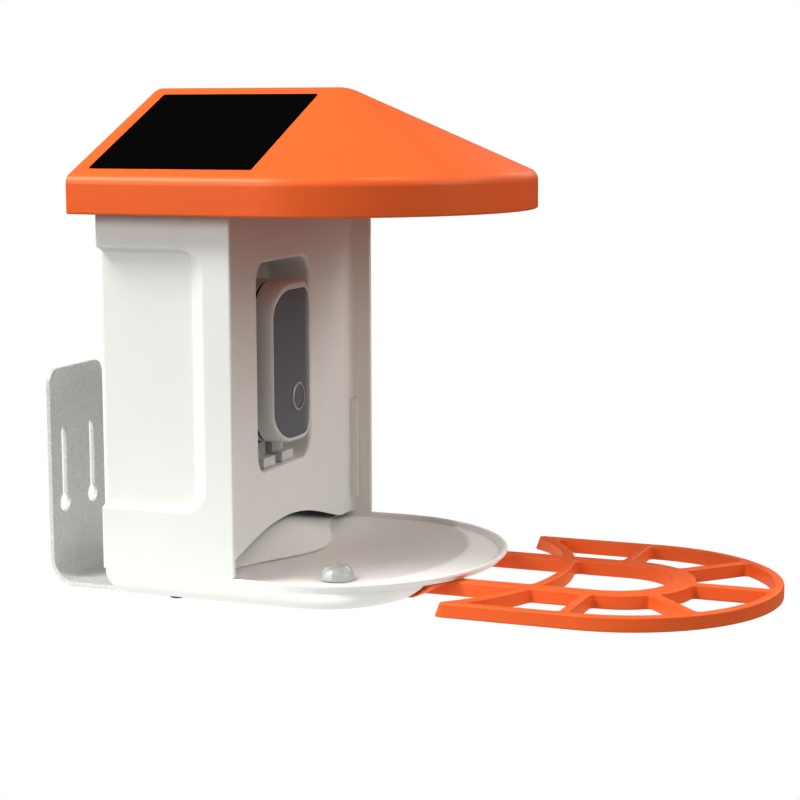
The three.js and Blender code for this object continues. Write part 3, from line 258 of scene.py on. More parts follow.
def finishPiece(mesh, name, bodyName, slotName, replaced=(), angle=35):
    bmesh.ops.scale(mesh, vec=(millimetre,) * 3, verts=mesh.verts)
    data = bpy.data.meshes.new(name)
    mesh.to_mesh(data)
    mesh.free()
    data.materials.append(materials[slotName])
    data.shade_smooth()
    data.set_sharp_from_angle(angle=math.radians(angle))
    piece = addObject(name, data)
    piece.modifiers.new("even shading", "WEIGHTED_NORMAL").keep_sharp = True
    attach(piece, bodyName)
    if replaced:
        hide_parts(*replaced)
    print("made", name)


# Materials. Each pattern is a pair: its size in millimetres and its detail.

moulded = {"tint": (45, 3), "gloss": (0.35, 2), "relief": (0.35, 2), "bump": (0.25, 0.006),
           "sockets": {"in_IOR": 1.5}}
looks = {
    # injection-moulded ABS with a spark-eroded grain: a soft sheen and no sharp reflections. The real
    # grain is about 0.1 mm, and is drawn coarser so that it shows.
    "orange_plastic": {**moulded, "name": "orange ABS", "colours": ("#f48042", "#f07c3f"),
                       "roughness": (0.37, 0.48)},
    "white_plastic": {**moulded, "name": "white ABS", "colours": ("#f3f4f0", "#edeeea"),
                      "roughness": (0.43, 0.54)},
    # a finer, slightly glossier ABS, as on small electronic housings
    "grey_plastic": {**moulded, "name": "light grey ABS", "colours": ("#e4e5e2", "#dedfdc"),
                     "roughness": (0.33, 0.44), "gloss": (0.25, 2), "relief": (0.25, 2), "bump": (0.25, 0.003)},
    "black_plastic": {**moulded, "name": "black ABS", "colours": ("#1c1c1e", "#222224"),
                      "roughness": (0.35, 0.46), "gloss": (0.25, 2), "relief": (0.25, 2), "bump": (0.25, 0.004)},
    # powder-coated steel sheet: a matt, slightly speckled coat with an orange-peel relief
    "coated_steel": {"name": "powder coated steel", "tint": (1.1, 4), "contrast": (0.35, 0.65),
                     "colours": ("#cccecb", "#dddfdc"), "relief": (0.9, 2), "bump": (0.3, 0.02),
                     "sockets": {"in_Roughness": 0.55, "in_Specular_IOR_Level": 0.6}},
    # smoked acrylic over a dark print: polished, so it shades from the lights round it
    "smoked_window": {"name": "smoked acrylic", "tint": (30, 2), "colours": ("#86898d", "#8c8f93"),
                      "sockets": {"in_Roughness": 0.22, "in_IOR": 1.49}},
    # moulded polycarbonate: clear, with a faint frosting from the mould
    "clear_plastic": {"name": "clear polycarbonate", "gloss": (0.6, 2), "roughness": (0.14, 0.26),
                      "sockets": {"in_Base_Color": linearColour("#f4f6f4"), "in_Transmission_Weight": 0.6,
                                  "in_IOR": 1.58}},
    # nickel-plated steel with a satin finish: bright, with blurred reflections
    "bright_steel": {"name": "satin nickel plated steel", "gloss": (1.5, 3), "roughness": (0.36, 0.5),
                     "sockets": {"in_Base_Color": linearColour("#dedfe0"), "in_Metallic": 1.0}},
    # turned brass inserts: warm, with fine tool marks in the gloss
    "brass": {"name": "turned brass", "gloss": (0.8, 3), "roughness": (0.26, 0.4),
              "sockets": {"in_Base_Color": linearColour("#b8904a"), "in_Metallic": 1.0}},
    # moulded silicone: matt black with a dusty bloom
    "black_rubber": {"name": "black silicone rubber", "tint": (4, 5), "colours": ("#202021", "#2c2c2d"),
                     "sockets": {"in_Roughness": 0.8}},
    # shrunk PVC sleeve: smooth, faintly wrinkled blue
    "battery_wrap": {"name": "blue shrink wrap", "tint": (6, 3), "colours": ("#2f62a0", "#3b74b4"),
                     "relief": (6, 3), "bump": (0.3, 0.2), "sockets": {"in_Roughness": 0.3}},
}
cells = {"angle": 24, "colours": ("#050506", "#0b0b0d"), "lines": (("X", 22.0, 0.02), ("Y", 3.0, 0.05))}


def patternedMaterial(look):
    material, tree, shader, place = newMaterial(look["name"])
    for use in ("tint", "gloss", "relief"):
        if use not in look:
            continue
        size, detail = look[use]
        pattern = addNode(tree, "ShaderNodeTexNoise", {"Vector": place}, in_Scale=perMetre(size),
                          in_Detail=detail).outputs["Fac"]
        if use == "tint":
            if "contrast" in look:
                low, high = look["contrast"]
                pattern = addNode(tree, "ShaderNodeMapRange", {"Value": pattern}, in_From_Min=low,
                                  in_From_Max=high).outputs["Result"]
            first, second = [linearColour(c) for c in look["colours"]]
            mixed = addNode(tree, "ShaderNodeMix", {"Factor": pattern}, data_type="RGBA", in_6=first, in_7=second)
            setNode(tree, shader, {"Base Color": mixed.outputs[2]})
        elif use == "gloss":
            low, high = look["roughness"]
            spread = addNode(tree, "ShaderNodeMapRange", {"Value": pattern}, in_To_Min=low, in_To_Max=high)
            setNode(tree, shader, {"Roughness": spread.outputs["Result"]})
        else:
            strength, depth = look["bump"]
            bump = addNode(tree, "ShaderNodeBump", {"Height": pattern}, in_Strength=strength,
                           in_Distance=depth * millimetre)
            setNode(tree, shader, {"Normal": bump.outputs["Normal"]})
    setNode(tree, shader, **look["sockets"])
    return material


def solarGlass():
    # laminated monocrystalline cells: near-black under a satin film, with hair-fine grey collector lines
    material, tree, shader, place = newMaterial("laminated solar cells")
    low, high = nodeBox("solar_panel")
    flat = addNode(tree, "ShaderNodeMapping", {"Vector": place}, vector_type="TEXTURE",
                   in_Location=(low + high) / 2 * millimetre, in_Rotation=(0, -math.radians(cells["angle"]), 0))
    split = addNode(tree, "ShaderNodeSeparateXYZ", {"Vector": flat.outputs["Vector"]})
    lines = []
    for socket, pitch, width in cells["lines"]:
        part = split.outputs[socket]
        for operation, value in (("MULTIPLY", perMetre(pitch)), ("FRACT", 0.5), ("LESS_THAN", width)):
            part = addNode(tree, "ShaderNodeMath", {0: part}, operation=operation, in_1=value).outputs[0]
        lines.append(part)
    either = addNode(tree, "ShaderNodeMath", {0: lines[0], 1: lines[1]}, operation="MAXIMUM")
    first, second = [linearColour(c) for c in cells["colours"]]
    tint = addNode(tree, "ShaderNodeMix", {"Factor": either.outputs[0]}, data_type="RGBA", in_6=first, in_7=second)
    setNode(tree, shader, {"Base Color": tint.outputs[2]}, in_Roughness=0.45, in_Specular_IOR_Level=0.03)
    return material


def circuitBoard():
    # glass-fibre laminate under green solder mask: copper tracks show as paler bands
    material, tree, shader, place = newMaterial("green solder mask")
    tracks = addNode(tree, "ShaderNodeTexBrick", {"Vector": place}, in_Scale=perMetre(4),
                     in_Color1=linearColour("#17502f"), in_Color2=linearColour("#1d6239"),
                     in_Mortar=linearColour("#2f8a55"), in_Mortar_Size=0.03)
    setNode(tree, shader, {"Base Color": tracks.outputs["Color"]}, in_Roughness=0.35)
    return material


materials = {slotName: patternedMaterial(look) for slotName, look in looks.items()}
materials["solar_glass"] = solarGlass()
materials["circuit_board"] = circuitBoard()
for subpart in frame["record"]["subparts"]:
    data = frame["nodes"][subpart["node"]].data
    data.materials.clear()
    data.materials.append(materials[subpart["material_slot"]])
print("materials made")


# Levels and walls that several pieces share

body = {"halfWidth": 93.5, "backY": 36, "wingFrontY": -40, "wall": 2.5, "panelY": -27, "roundY": -60}
level = {"base": 16.5, "rim": 28.7, "floor": 26.3, "body": 29.0, "top": 224.0, "hinge": 217.5, "hingeY": 44}
play = 0.3  # between pieces that only lie against each other


# Roof: straight slopes that end in half a cone, an upright skirt and a gable at the back

roof = {"slope": 24, "eaveHeight": 231.9, "wall": 3, "ridgeRadius": 24, "eaveRadius": 6, "backY": 45.5,
        "edge": 1.0, "steps": 72, "inside": (0, -40, 235), "ribX": 70, "ribY": (-8, 22), "ribSheet": 2.4,
        "ribInset": 1.5, "ribDrop": 2}
solar = {"edge": 90, "border": 0.35, "recess": 1.8, "proud": 0.6, "frame": 3, "topX": 13.8, "centreY": -8.4,
         "glue": 0.15, "step": 0.12, "corner": 0.2, "slopeArea": 400}
hinge = {"stationX": 45, "earHalf": 5, "gap": 0.35, "knuckle": 8, "radius": 3.4, "bore": 1.35, "notchTop": 221.6,
         "armRoot": (-10.2, 3.2), "armTip": ((-0.4, -3.2), (-1.6, 2.8))}
magnet = {"x": 76, "y": -19, "radius": 4.3, "boss": 6, "keeper": 2.3}
roofLow, roofHigh = nodeBox("roof_shell")
roofHalf = roofHigh.x
tilt = math.radians(roof["slope"])
apexZ = roof["eaveHeight"] + roofHalf * math.tan(tilt)
downSlope = Vector((-math.cos(tilt), 0, -math.sin(tilt)))  # on the left slope, away from the ridge
slopeNormal = Vector((-math.sin(tilt), 0, math.cos(tilt)))
solarX = -(solar["topX"] + solar["edge"] / 2 * math.cos(tilt))
solarCentre = Vector((solarX, solar["centreY"], apexZ - math.tan(tilt) * abs(solarX)))


def underRoofZ(x, inset):
    return apexZ - inset / math.cos(tilt) - math.tan(tilt) * abs(x)


def roofProfile():
    eaveX = roofHalf - roof["eaveRadius"]
    ridge = arcPoints((0, underRoofZ(0, roof["ridgeRadius"])), roof["ridgeRadius"], 90, 90 - roof["slope"], 5)
    eave = arcPoints((eaveX, underRoofZ(eaveX, roof["eaveRadius"])), roof["eaveRadius"], 90 - roof["slope"], 0, 8)
    return ridge + eave + [(roofHalf, roofLow.z)]


def makeRoof():
    mesh = bmesh.new()
    roundY = body["roundY"]
    verts = addLoop(mesh, [(x, roundY, z) for x, z in roofProfile()], closed=False)
    bmesh.ops.spin(mesh, geom=verts + mesh.edges[:], cent=(0, roundY, 0), axis=(0, 0, 1), angle=-math.pi,
                   steps=roof["steps"], use_merge=False, use_duplicate=False)
    bmesh.ops.remove_doubles(mesh, verts=mesh.verts, dist=1e-3)
    ends = edgesWhere(mesh, lambda v: abs(v.co.y - roundY) < 1e-3)
    chain = grownVerts(bmesh.ops.extrude_edge_only(mesh, edges=ends))
    for vert in chain:
        vert.co.y = roof["backY"]
    chain.sort(key=lambda v: math.atan2(v.co.z - roofLow.z, v.co.x))
    notch = hinge["earHalf"] + hinge["gap"]
    inner, outer = hinge["stationX"] - notch, hinge["stationX"] + notch
    foot = [(-outer, roofLow.z), (-outer, hinge["notchTop"]), (-inner, hinge["notchTop"]), (-inner, roofLow.z)]
    foot += [(-x, z) for x, z in reversed(foot)]
    mesh.faces.new(chain + [mesh.verts.new((x, roof["backY"], z)) for x, z in foot])
    turnOut(mesh, roof["inside"])
    thicken(mesh, roof["wall"])
    bevelSharp(mesh, roof["edge"], 3, 45)
    half = solar["edge"] / 2 + solar["border"]
    for side in (-1, 1):
        for way in (downSlope, Vector((0, 1, 0))):
            mesh.normal_update()
            sliceAt(mesh, solarCentre + way * side * half, way,
                    lambda f: f.normal.dot(slopeNormal) > 0.9999 and f.calc_area() > solar["slopeArea"])
    mesh.normal_update()
    under = [f for f in mesh.faces if (f.calc_center_median() - solarCentre).length < 1
             and f.normal.dot(slopeNormal) > 0.999]
    sunk = grownVerts(bmesh.ops.extrude_face_region(mesh, geom=under))
    bmesh.ops.translate(mesh, vec=-slopeNormal * solar["recess"], verts=sunk)
    bmesh.ops.delete(mesh, geom=under, context="FACES_ONLY")
    finishPiece(mesh, "roof_cover", "lid", "orange_plastic", ["roof_shell"])


def makeRoofFittings():
    mesh = bmesh.new()
    wall = roof["wall"] / 2
    low = level["top"] + play
    near, eave = roof["ribX"], roofHalf - wall - roof["ribInset"]
    bossTop = underRoofZ(magnet["x"], wall)
    for side in (-1, 1):
        for y in roof["ribY"]:
            section = [(near, low), (eave, low), (eave, underRoofZ(eave, wall + roof["ribDrop"])),
                       (near, underRoofZ(near, wall))]
            y0 = y - roof["ribSheet"] / 2
            addPrism(mesh, [(side * x, y0, z) for x, z in section], (0, roof["ribSheet"], 0))
        boss = bmesh.new()
        profile = [(0, low + magnet["keeper"]), (magnet["radius"], low + magnet["keeper"]),
                   (magnet["radius"], low), (magnet["boss"], low), (magnet["boss"], bossTop), (0, bossTop)]
        addTurned(boss, profile, (side * magnet["x"], magnet["y"], 0))
        for vert in boss.verts:
            if vert.co.z > bossTop - touch:
                vert.co.z = underRoofZ(vert.co.x, wall)
        joinInto(mesh, boss)
        for way in (-1, 1):
            start = way * (hinge["earHalf"] + hinge["gap"])
            first, last = sorted((start, start + way * hinge["knuckle"]))
            centre = (side * hinge["stationX"], level["hingeY"], level["hinge"])
            addTube(mesh, hinge["bore"], hinge["radius"], first, last, centre, "X")
    finishPiece(mesh, "roof_fittings", "lid", "orange_plastic")


def makeSolarPanel():
    mesh = bmesh.new()
    bmesh.ops.create_cube(mesh, size=1)
    sheet = solar["recess"] + solar["proud"] - solar["glue"]
    bmesh.ops.scale(mesh, vec=(solar["edge"], solar["edge"], sheet), verts=mesh.verts)
    bmesh.ops.translate(mesh, vec=(0, 0, solar["proud"] - sheet / 2), verts=mesh.verts)
    top = [f for f in mesh.faces if f.calc_center_median().z > solar["proud"] - touch]
    bmesh.ops.inset_region(mesh, faces=top, thickness=solar["frame"], depth=-solar["step"])
    bevelSharp(mesh, solar["corner"], 2, 60)
    turn = Matrix.Translation(solarCentre) @ Matrix.Rotation(-tilt, 4, "Y")
    bmesh.ops.transform(mesh, matrix=turn, verts=mesh.verts)
    finishPiece(mesh, "solar_cells", "lid", "solar_glass", ["solar_panel"])


makeRoof()
makeRoofFittings()
makeSolarPanel()


# Hopper body: back and side walls with a stepped-in field on each side

shell = {"recessDepth": 5.5, "recessBottom": 61.5, "recessTop": 196, "recessFrontY": -24.5, "recessRound": 13,
         "slopeEnds": 2.1, "slopeFront": 8.5, "recessEdge": 0.8, "backEdge": 1.5, "edge": 1.1,
         "inside": (0, -2, 120), "guideBottom": 38.5, "guideTop": 96.5, "guideDepth": 4.8, "guideSheet": 1.5,
         "backRib": 2.2, "post": 4.5, "postBore": 1.75, "postInset": 6.5, "postFrontY": -17, "postTop": 49}
postX = body["halfWidth"] - body["wall"] - shell["postInset"]
postYs = (shell["postFrontY"], body["backY"] - body["wall"] - shell["postInset"])


def makeBodyShell():
    mesh = bmesh.new()
    x, frontY, backY = body["halfWidth"], body["wingFrontY"], body["backY"]
    lowZ, highZ, notchY = shell["recessBottom"], shell["recessTop"], shell["recessFrontY"]
    outline = [(frontY, level["body"]), (backY, level["body"]), (backY, lowZ), (notchY, lowZ), (notchY, highZ),
               (backY, highZ), (backY, level["top"]), (frontY, level["top"])]
    addFace(mesh, [(x, y, z) for y, z in outline])
    for z in (lowZ, highZ):
        roundCorner(mesh, (x, notchY, z), shell["recessRound"], 10)

    def onNotch(vert):
        return lowZ - touch < vert.co.z < highZ + touch and vert.co.y > notchY - touch

    def atBack(vert):
        return abs(vert.co.y - backY) < touch

    inner = grownVerts(bmesh.ops.extrude_edge_only(mesh, edges=edgesWhere(mesh, onNotch)))
    radius = shell["recessRound"]
    middleY = notchY + radius
    for vert in inner:
        vert.co.x = x - shell["recessDepth"]
        if vert.co.y < middleY:
            vert.co.y = middleY + (vert.co.y - middleY) * (radius - shell["slopeFront"]) / radius
        for middle, way in ((lowZ + radius, 1), (highZ - radius, -1)):
            if (vert.co.z - middle) * way < 0:
                vert.co.z = middle + (vert.co.z - middle) * (radius - shell["slopeEnds"]) / radius
    field = edgesWhere(mesh, lambda v: v in inner) + [mesh.edges.new([v for v in inner if atBack(v)])]
    bmesh.ops.contextual_create(mesh, geom=field)
    bmesh.ops.recalc_face_normals(mesh, faces=mesh.faces)
    bevelSharp(mesh, shell["recessEdge"], 4, 15)
    mirrorAcross(mesh)
    bmesh.ops.bridge_loops(mesh, edges=[e for e in edgesWhere(mesh, atBack) if len(e.link_faces) == 1])
    turnOut(mesh, shell["inside"])
    bevelSharp(mesh, shell["backEdge"], 4, 30, lambda e: all(atBack(v) for v in e.verts))
    thicken(mesh, body["wall"])
    bevelSharp(mesh, shell["edge"], 3, 60, lambda e: all(v.co.y < frontY + touch for v in e.verts))
    finishPiece(mesh, "hopper_walls", "feeder_body", "white_plastic", ["body_shell"])


def makeBodyFittings():
    mesh = bmesh.new()
    inner = body["halfWidth"] - body["wall"]
    before, behind = body["panelY"] - play, body["panelY"] + body["wall"] + play
    for side in (-1, 1):
        for y0, y1, z0, z1 in ((before - shell["guideDepth"], before, shell["guideBottom"], shell["guideTop"]),
                               (behind, behind + shell["backRib"], level["body"], level["top"])):
            x0, x1 = sorted((side * (inner + play), side * (inner - shell["guideSheet"])))
            addBlock(mesh, (x0, y0, z0), (x1, y1, z1))
        for y in postYs:
            x0, x1 = sorted((side * postX, side * (inner + play)))
            addBlock(mesh, (x0, y - body["wall"] / 2, level["body"]), (x1, y + body["wall"] / 2, shell["postTop"]))
            addTube(mesh, shell["postBore"], shell["post"], level["body"], shell["postTop"], (side * postX, y, 0),
                    steps=24)
        centre = (side * hinge["stationX"], level["hingeY"], level["hinge"])
        addTube(mesh, hinge["bore"], hinge["radius"], -hinge["earHalf"], hinge["earHalf"], centre, "X")
        wallY = body["backY"] - body["wall"] / 2
        low, high = hinge["armRoot"]
        arm = [(wallY, level["hinge"] + low)]
        arm += [(level["hingeY"] + y, level["hinge"] + z) for y, z in hinge["armTip"]]
        arm.append((wallY, level["hinge"] + high))
        x0 = side * hinge["stationX"] - hinge["earHalf"]
        addPrism(mesh, [(x0, y, z) for y, z in arm], (2 * hinge["earHalf"], 0, 0))
    finishPiece(mesh, "hopper_fittings", "feeder_body", "white_plastic")


makeBodyShell()
makeBodyFittings()


# Front panel: a sheet with a deep pocket for the camera and a bell-shaped mouth below

panel = {"halfWidth": 90.9, "fillet": 3, "sheet": 2.5, "pocketHalf": 34, "pocketBottom": 72, "pocketTop": 184.5,
         "pocketRound": 10, "pocketFloorY": -1, "rimRound": 2.5, "archHalf": 77, "archHeight": 14.8,
         "archShare": 0.55, "archSteps": 22, "flangeHalf": 83, "flangeDepth": 12, "flangeHeight": 6,
         "flangeLap": 0.5, "flangeEdge": 0.4, "restStep": 7, "restFront": 5.7, "restTop": 85.5, "restLap": 1,
         "restEdge": 0.7}


def makeFrontPanel():
    mesh = bmesh.new()
    half, faceY = panel["halfWidth"], body["panelY"]
    arch = []
    for i in range(panel["archSteps"] + 1):
        x = panel["archHalf"] * (1 - i / panel["archSteps"])
        bell = (math.cos(math.pi * x / panel["archHalf"]) + 1) / 2
        arch.append((x, max(level["rim"] + panel["archHeight"] * bell ** panel["archShare"], level["body"])))
    pocket = [(0, panel["pocketBottom"]), (panel["pocketHalf"], panel["pocketBottom"]),
              (panel["pocketHalf"], panel["pocketTop"]), (0, panel["pocketTop"])]
    flatHalf = half - panel["fillet"]
    outline = [(0, level["top"]), (flatHalf, level["top"]), (flatHalf, level["body"])] + arch + pocket
    addFace(mesh, [(x, faceY, z) for x, z in outline])
    for z in (panel["pocketBottom"], panel["pocketTop"]):
        roundCorner(mesh, (panel["pocketHalf"], faceY, z), panel["pocketRound"])
    mirrorAcross(mesh)
    for side in (-1, 1):  # a soft corner towards each wing
        edge = edgesWhere(mesh, lambda v: v.co.x * side > flatHalf - touch)
        for x, y in arcPoints((flatHalf, faceY - panel["fillet"]), panel["fillet"], 90, 0, 6)[1:]:
            grown = bmesh.ops.extrude_edge_only(mesh, edges=edge)
            edge = [g for g in grown["geom"] if isinstance(g, bmesh.types.BMEdge)]
            for vert in {v for e in edge for v in e.verts}:
                vert.co.x, vert.co.y = side * x, y

    def onPocket(vert):
        inHeight = panel["pocketBottom"] - touch < vert.co.z < panel["pocketTop"] + touch
        return inHeight and abs(vert.co.x) < panel["pocketHalf"] + touch

    rim = [e for e in edgesWhere(mesh, onPocket) if len(e.link_faces) == 1]
    deep = grownVerts(bmesh.ops.extrude_edge_only(mesh, edges=rim))
    for vert in deep:
        vert.co.y = panel["pocketFloorY"]
    bmesh.ops.contextual_create(mesh, geom=edgesWhere(mesh, lambda v: v in deep))
    turnOut(mesh, way=(0, -1, 0))
    bevelSharp(mesh, panel["rimRound"], 5, 40)
    thicken(mesh, panel["sheet"])
    for vert in mesh.verts:
        vert.co.x = max(min(vert.co.x, half), -half)
    finishPiece(mesh, "hopper_front", "feeder_body", "white_plastic", ["front_panel"])


def makeFlange():
    mesh = bmesh.new()
    half, low = panel["flangeHalf"], level["top"] - panel["flangeHeight"]
    inner = body["panelY"] + panel["sheet"]
    near, far = inner - panel["flangeLap"], inner + panel["flangeDepth"]
    addLoop(mesh, [(-half, near, low), (half, near, low), (half, far, low), (-half, far, low)])
    for side in (-1, 1):
        addHole(mesh, (side * magnet["x"], magnet["y"]), magnet["radius"], low)
    fillBetween(mesh)
    raiseFaces(mesh, (0, 0, panel["flangeHeight"]))
    bevelSharp(mesh, panel["flangeEdge"], 2, 60)
    finishPiece(mesh, "hopper_front_flange", "feeder_body", "white_plastic")


def makeCameraRests():
    for i in (1, 2):
        mesh = bmesh.new()
        low, high = nodeBox(f"camera_rest_{i}")
        step = low.y + panel["restStep"]
        addBlock(mesh, low, (high.x, step, low.z + panel["restFront"]), panel["restEdge"])
        addBlock(mesh, (low.x, step - panel["restLap"], low.z), (high.x, high.y, panel["restTop"]),
                 panel["restEdge"])
        finishPiece(mesh, f"camera_support_{i}", "feeder_body", "grey_plastic", [f"camera_rest_{i}"])


makeFrontPanel()
makeFlange()
makeCameraRests()


# Seed chute: a sloping floor that swells out through the mouth

chute = {"sheet": 1.8, "lipY": -49.5, "backLipY": -20, "lipLift": 1.08, "bulge": 50, "slope": 0.46, "half": 90.7,
         "room": 4.8, "across": 72, "along": 28}


def makeChute():
    mesh = bmesh.new()
    bmesh.ops.create_grid(mesh, x_segments=chute["across"], y_segments=chute["along"], size=0.5)
    backY = body["backY"] - body["wall"] - play
    under = level["floor"] + play
    for vert in mesh.verts:
        x = vert.co.x * 2 * chute["half"]
        lip = chute["backLipY"] + (chute["lipY"] - chute["backLipY"]) * math.exp(-(x / chute["bulge"]) ** 2)
        y = lip + (backY - lip) * (vert.co.y + 0.5)
        vert.co = (x, y, under + chute["lipLift"] + chute["slope"] * (y - lip))
    room = chute["room"]  # round each screw post
    for side in (-1, 1):
        sliceAt(mesh, (side * (postX - room), 0, 0), (1, 0, 0))
    for y in postYs:
        for way in (-1, 1):
            sliceAt(mesh, (0, y + way * room, 0), (0, 1, 0))
    cutAway(mesh, lambda c: abs(c.x) > postX - room and any(abs(c.y - y) < room for y in postYs))
    turnOut(mesh, way=(0, 0, 1))
    thicken(mesh, chute["sheet"])
    for vert in mesh.verts:
        vert.co.z = max(vert.co.z, under)
    finishPiece(mesh, "seed_slide", "feeder_body", "white_plastic", ["seed_chute"])


makeChute()


# Dish: a flared rim on a narrower keel, hollow from below

dish = {"rimHeight": 12.47, "rimWidth": 2.8, "floorTop": 9.8, "sheet": 1.7, "innerSlope": 1.2, "backRound": 12,
        "backCorner": 4, "bottomInset": 2.2, "keelCentreY": -68, "keelReach": 55, "keelSquareness": 2.6,
        "flareHeight": 7.7, "flareReach": 83, "frontReach": 90, "flareTop": 10.9, "flareEase": 1.3, "edge": 1.1,
        "jointHalf": 1, "frontSteps": 72, "keelShares": (0, 0.04, 0.1, 0.2, 0.35, 0.5, 0.7, 0.85, 1),
        "flareShares": (0.25, 0.5, 0.75, 1), "inside": (0, -50, 10), "slotY": -106, "slotPlay": 0.1}
drain = {"x": -64.5, "y": -84.5, "hole": 3.9, "dome": 9, "domeHeight": 8.2, "domeSteps": 14, "brim": 0.5,
         "seat": 0.6, "lift": 0.15, "stem": 3.6, "stemLength": 5, "stemTip": 0.8}
perch = {"hookHalf": 53.5, "hookDepth": 4.2, "height": 7.7}


def dishRing(height, inset, atHeight=None):
    share = min(height / dish["flareHeight"], 1)
    flare = min(max((height - dish["flareHeight"]) / (dish["flareTop"] - dish["flareHeight"]), 0), 1)
    flare = 1 - (1 - flare) ** dish["flareEase"]  # turns smoothly into the upright rim
    centreY = dish["keelCentreY"] + (body["roundY"] - dish["keelCentreY"]) * share
    keel = dish["keelReach"] + (dish["flareReach"] - dish["keelReach"]) * share
    reach = keel + (dish["frontReach"] - dish["flareReach"]) * flare - inset
    halfWidth = body["halfWidth"] - dish["bottomInset"] * (1 - share) ** 3 - inset
    drop = max(dish["backRound"] - height, 0)
    backY = body["backY"] - dish["backRound"] + math.sqrt(dish["backRound"] ** 2 - drop ** 2) - inset
    power = 2 / (dish["keelSquareness"] + (2 - dish["keelSquareness"]) * share)
    radius = dish["backCorner"]
    points = []
    for side, start in ((1, 0), (-1, 90)):
        points += arcPoints((side * (halfWidth - radius), backY - radius), radius, start, start + 90, 6)
    joints = [body["wingFrontY"] + way * dish["jointHalf"] for way in (1, -1)]
    points += [(-halfWidth, y) for y in joints]
    for i in range(dish["frontSteps"] + 1):
        turn = math.pi * (1 + i / dish["frontSteps"])
        across, along = math.cos(turn), math.sin(turn)
        points.append((halfWidth * math.copysign(abs(across) ** power, across),
                       centreY - reach * abs(along) ** power))
    points += [(halfWidth, y) for y in reversed(joints)]
    z = level["base"] + (height if atHeight is None else atHeight)
    return [(x, y, z) for x, y in points]


def makeDish():
    mesh = bmesh.new()
    keelTop, flareTop = dish["flareHeight"], dish["flareTop"]
    rings = [dishRing(keelTop * s, 0) for s in dish["keelShares"]]
    rings += [dishRing(keelTop + (flareTop - keelTop) * s, 0) for s in dish["flareShares"]]
    rings += [dishRing(flareTop, 0, dish["rimHeight"]),
              dishRing(flareTop, dish["rimWidth"], dish["rimHeight"]),
              dishRing(flareTop, dish["rimWidth"] + dish["innerSlope"], dish["floorTop"])]
    rows = [addLoop(mesh, rings[0])]
    for ring in rings[1:]:
        rows.append(growRing(mesh, rows[-1], ring))
    hole = addHole(mesh, (drain["x"], drain["y"]), drain["hole"], level["floor"])
    fillBetween(mesh, ringEdges(mesh, rows[-1]) + ringEdges(mesh, hole))
    turnOut(mesh, dish["inside"])
    rims = [set(row) for row in rows[-3:-1]]
    frontRims = [e for e in mesh.edges
                 if any(all(v in row and v.co.y < body["wingFrontY"] for v in e.verts) for row in rims)]
    bevel(mesh, frontRims, dish["edge"], 5)

    # The hook band's slot under the rim
    half = perch["hookHalf"] + play
    slotTop = level["floor"] - dish["sheet"] - dish["slotPlay"]

    def ahead(face):
        middle = face.calc_center_median()
        return middle.y < dish["slotY"] and middle.z < level["floor"] - touch

    for side in (-1, 1):
        sliceAt(mesh, (side * half, 0, 0), (1, 0, 0), ahead)
    sliceAt(mesh, (0, 0, slotTop), (0, 0, 1), ahead)
    cutAway(mesh, lambda c: abs(c.x) < half and c.z < slotTop and c.y < dish["slotY"])
    thicken(mesh, dish["sheet"])
    finishPiece(mesh, "dish_tray", "feeder_body", "white_plastic", ["dish_base"])


pedestal = {"half": 24, "frontY": -48, "backY": 26, "wall": 2.5, "corner": 6, "edge": 0.4, "postX": 15,
            "inset": 9, "post": 5.5, "bore": 3.35, "bottom": 2.8}
rail = {"backY": -70, "frontY": -112, "wall": 2.4, "lip": 2.1, "lipReach": 3.2, "outer": 40.1, "inner": 29.9}
feet = {"x": 86.2, "y": -4, "frontX": 63, "frontY": -100, "boss": 5,
        "edge": ((0.5, 0), (0.1, 0.25), (0, 0.6))}  # how far in and how far up, round each pad
screwBoss = {"bore": 1.9, "lift": 2.4}


def addRoundWall(mesh, low, high, wall):
    part = bmesh.new()
    for inset in (0, wall):
        reach = pedestal["corner"] - inset
        x, y0, y1 = pedestal["half"] - inset - reach, pedestal["frontY"] + inset, pedestal["backY"] - inset
        points = []
        for centre, start in (((x, y0 + reach), -90), ((x, y1 - reach), 0), ((-x, y1 - reach), 90),
                              ((-x, y0 + reach), 180)):
            points += arcPoints(centre, reach, start, start + 90, 6)
        addLoop(part, [(px, py, low) for px, py in points])
    fillBetween(part)
    raiseFaces(part, (0, 0, high - low))
    bevelSharp(part, pedestal["edge"], 2, 60)
    joinInto(mesh, part)


def makeUnderworks():
    mesh = bmesh.new()
    under = level["floor"] - dish["sheet"] + play
    addRoundWall(mesh, pedestal["bottom"], under, pedestal["wall"])
    for x in (-pedestal["postX"], pedestal["postX"]):
        for y in (pedestal["frontY"] + pedestal["inset"], pedestal["backY"] - pedestal["inset"]):
            addTube(mesh, pedestal["bore"], pedestal["post"], pedestal["bottom"], under, (x, y, 0))
    lipTop = level["base"] + rail["lip"]
    wall, lip, outer, inner = rail["wall"], rail["lipReach"], rail["outer"], rail["inner"]
    for side in (-1, 1):
        for near, far, top in ((outer, outer + wall, under), (outer - lip, outer + wall, lipTop),
                               (inner - wall, inner, under), (inner - wall, inner + lip, lipTop)):
            x0, x1 = sorted((side * near, side * far))
            addBlock(mesh, (x0, rail["frontY"], level["base"]), (x1, rail["backY"], top))
        for x, y in ((feet["x"], feet["y"]), (feet["frontX"], feet["frontY"])):
            addTurned(mesh, [(0, level["base"]), (feet["boss"], level["base"]), (feet["boss"], under), (0, under)],
                      (side * x, y, 0), "Z", 24, 0.3)
        for y in postYs:
            addTube(mesh, screwBoss["bore"], shell["post"], level["base"] + screwBoss["lift"], level["rim"],
                    (side * postX, y, 0), steps=24)
    finishPiece(mesh, "dish_underside", "feeder_body", "white_plastic")


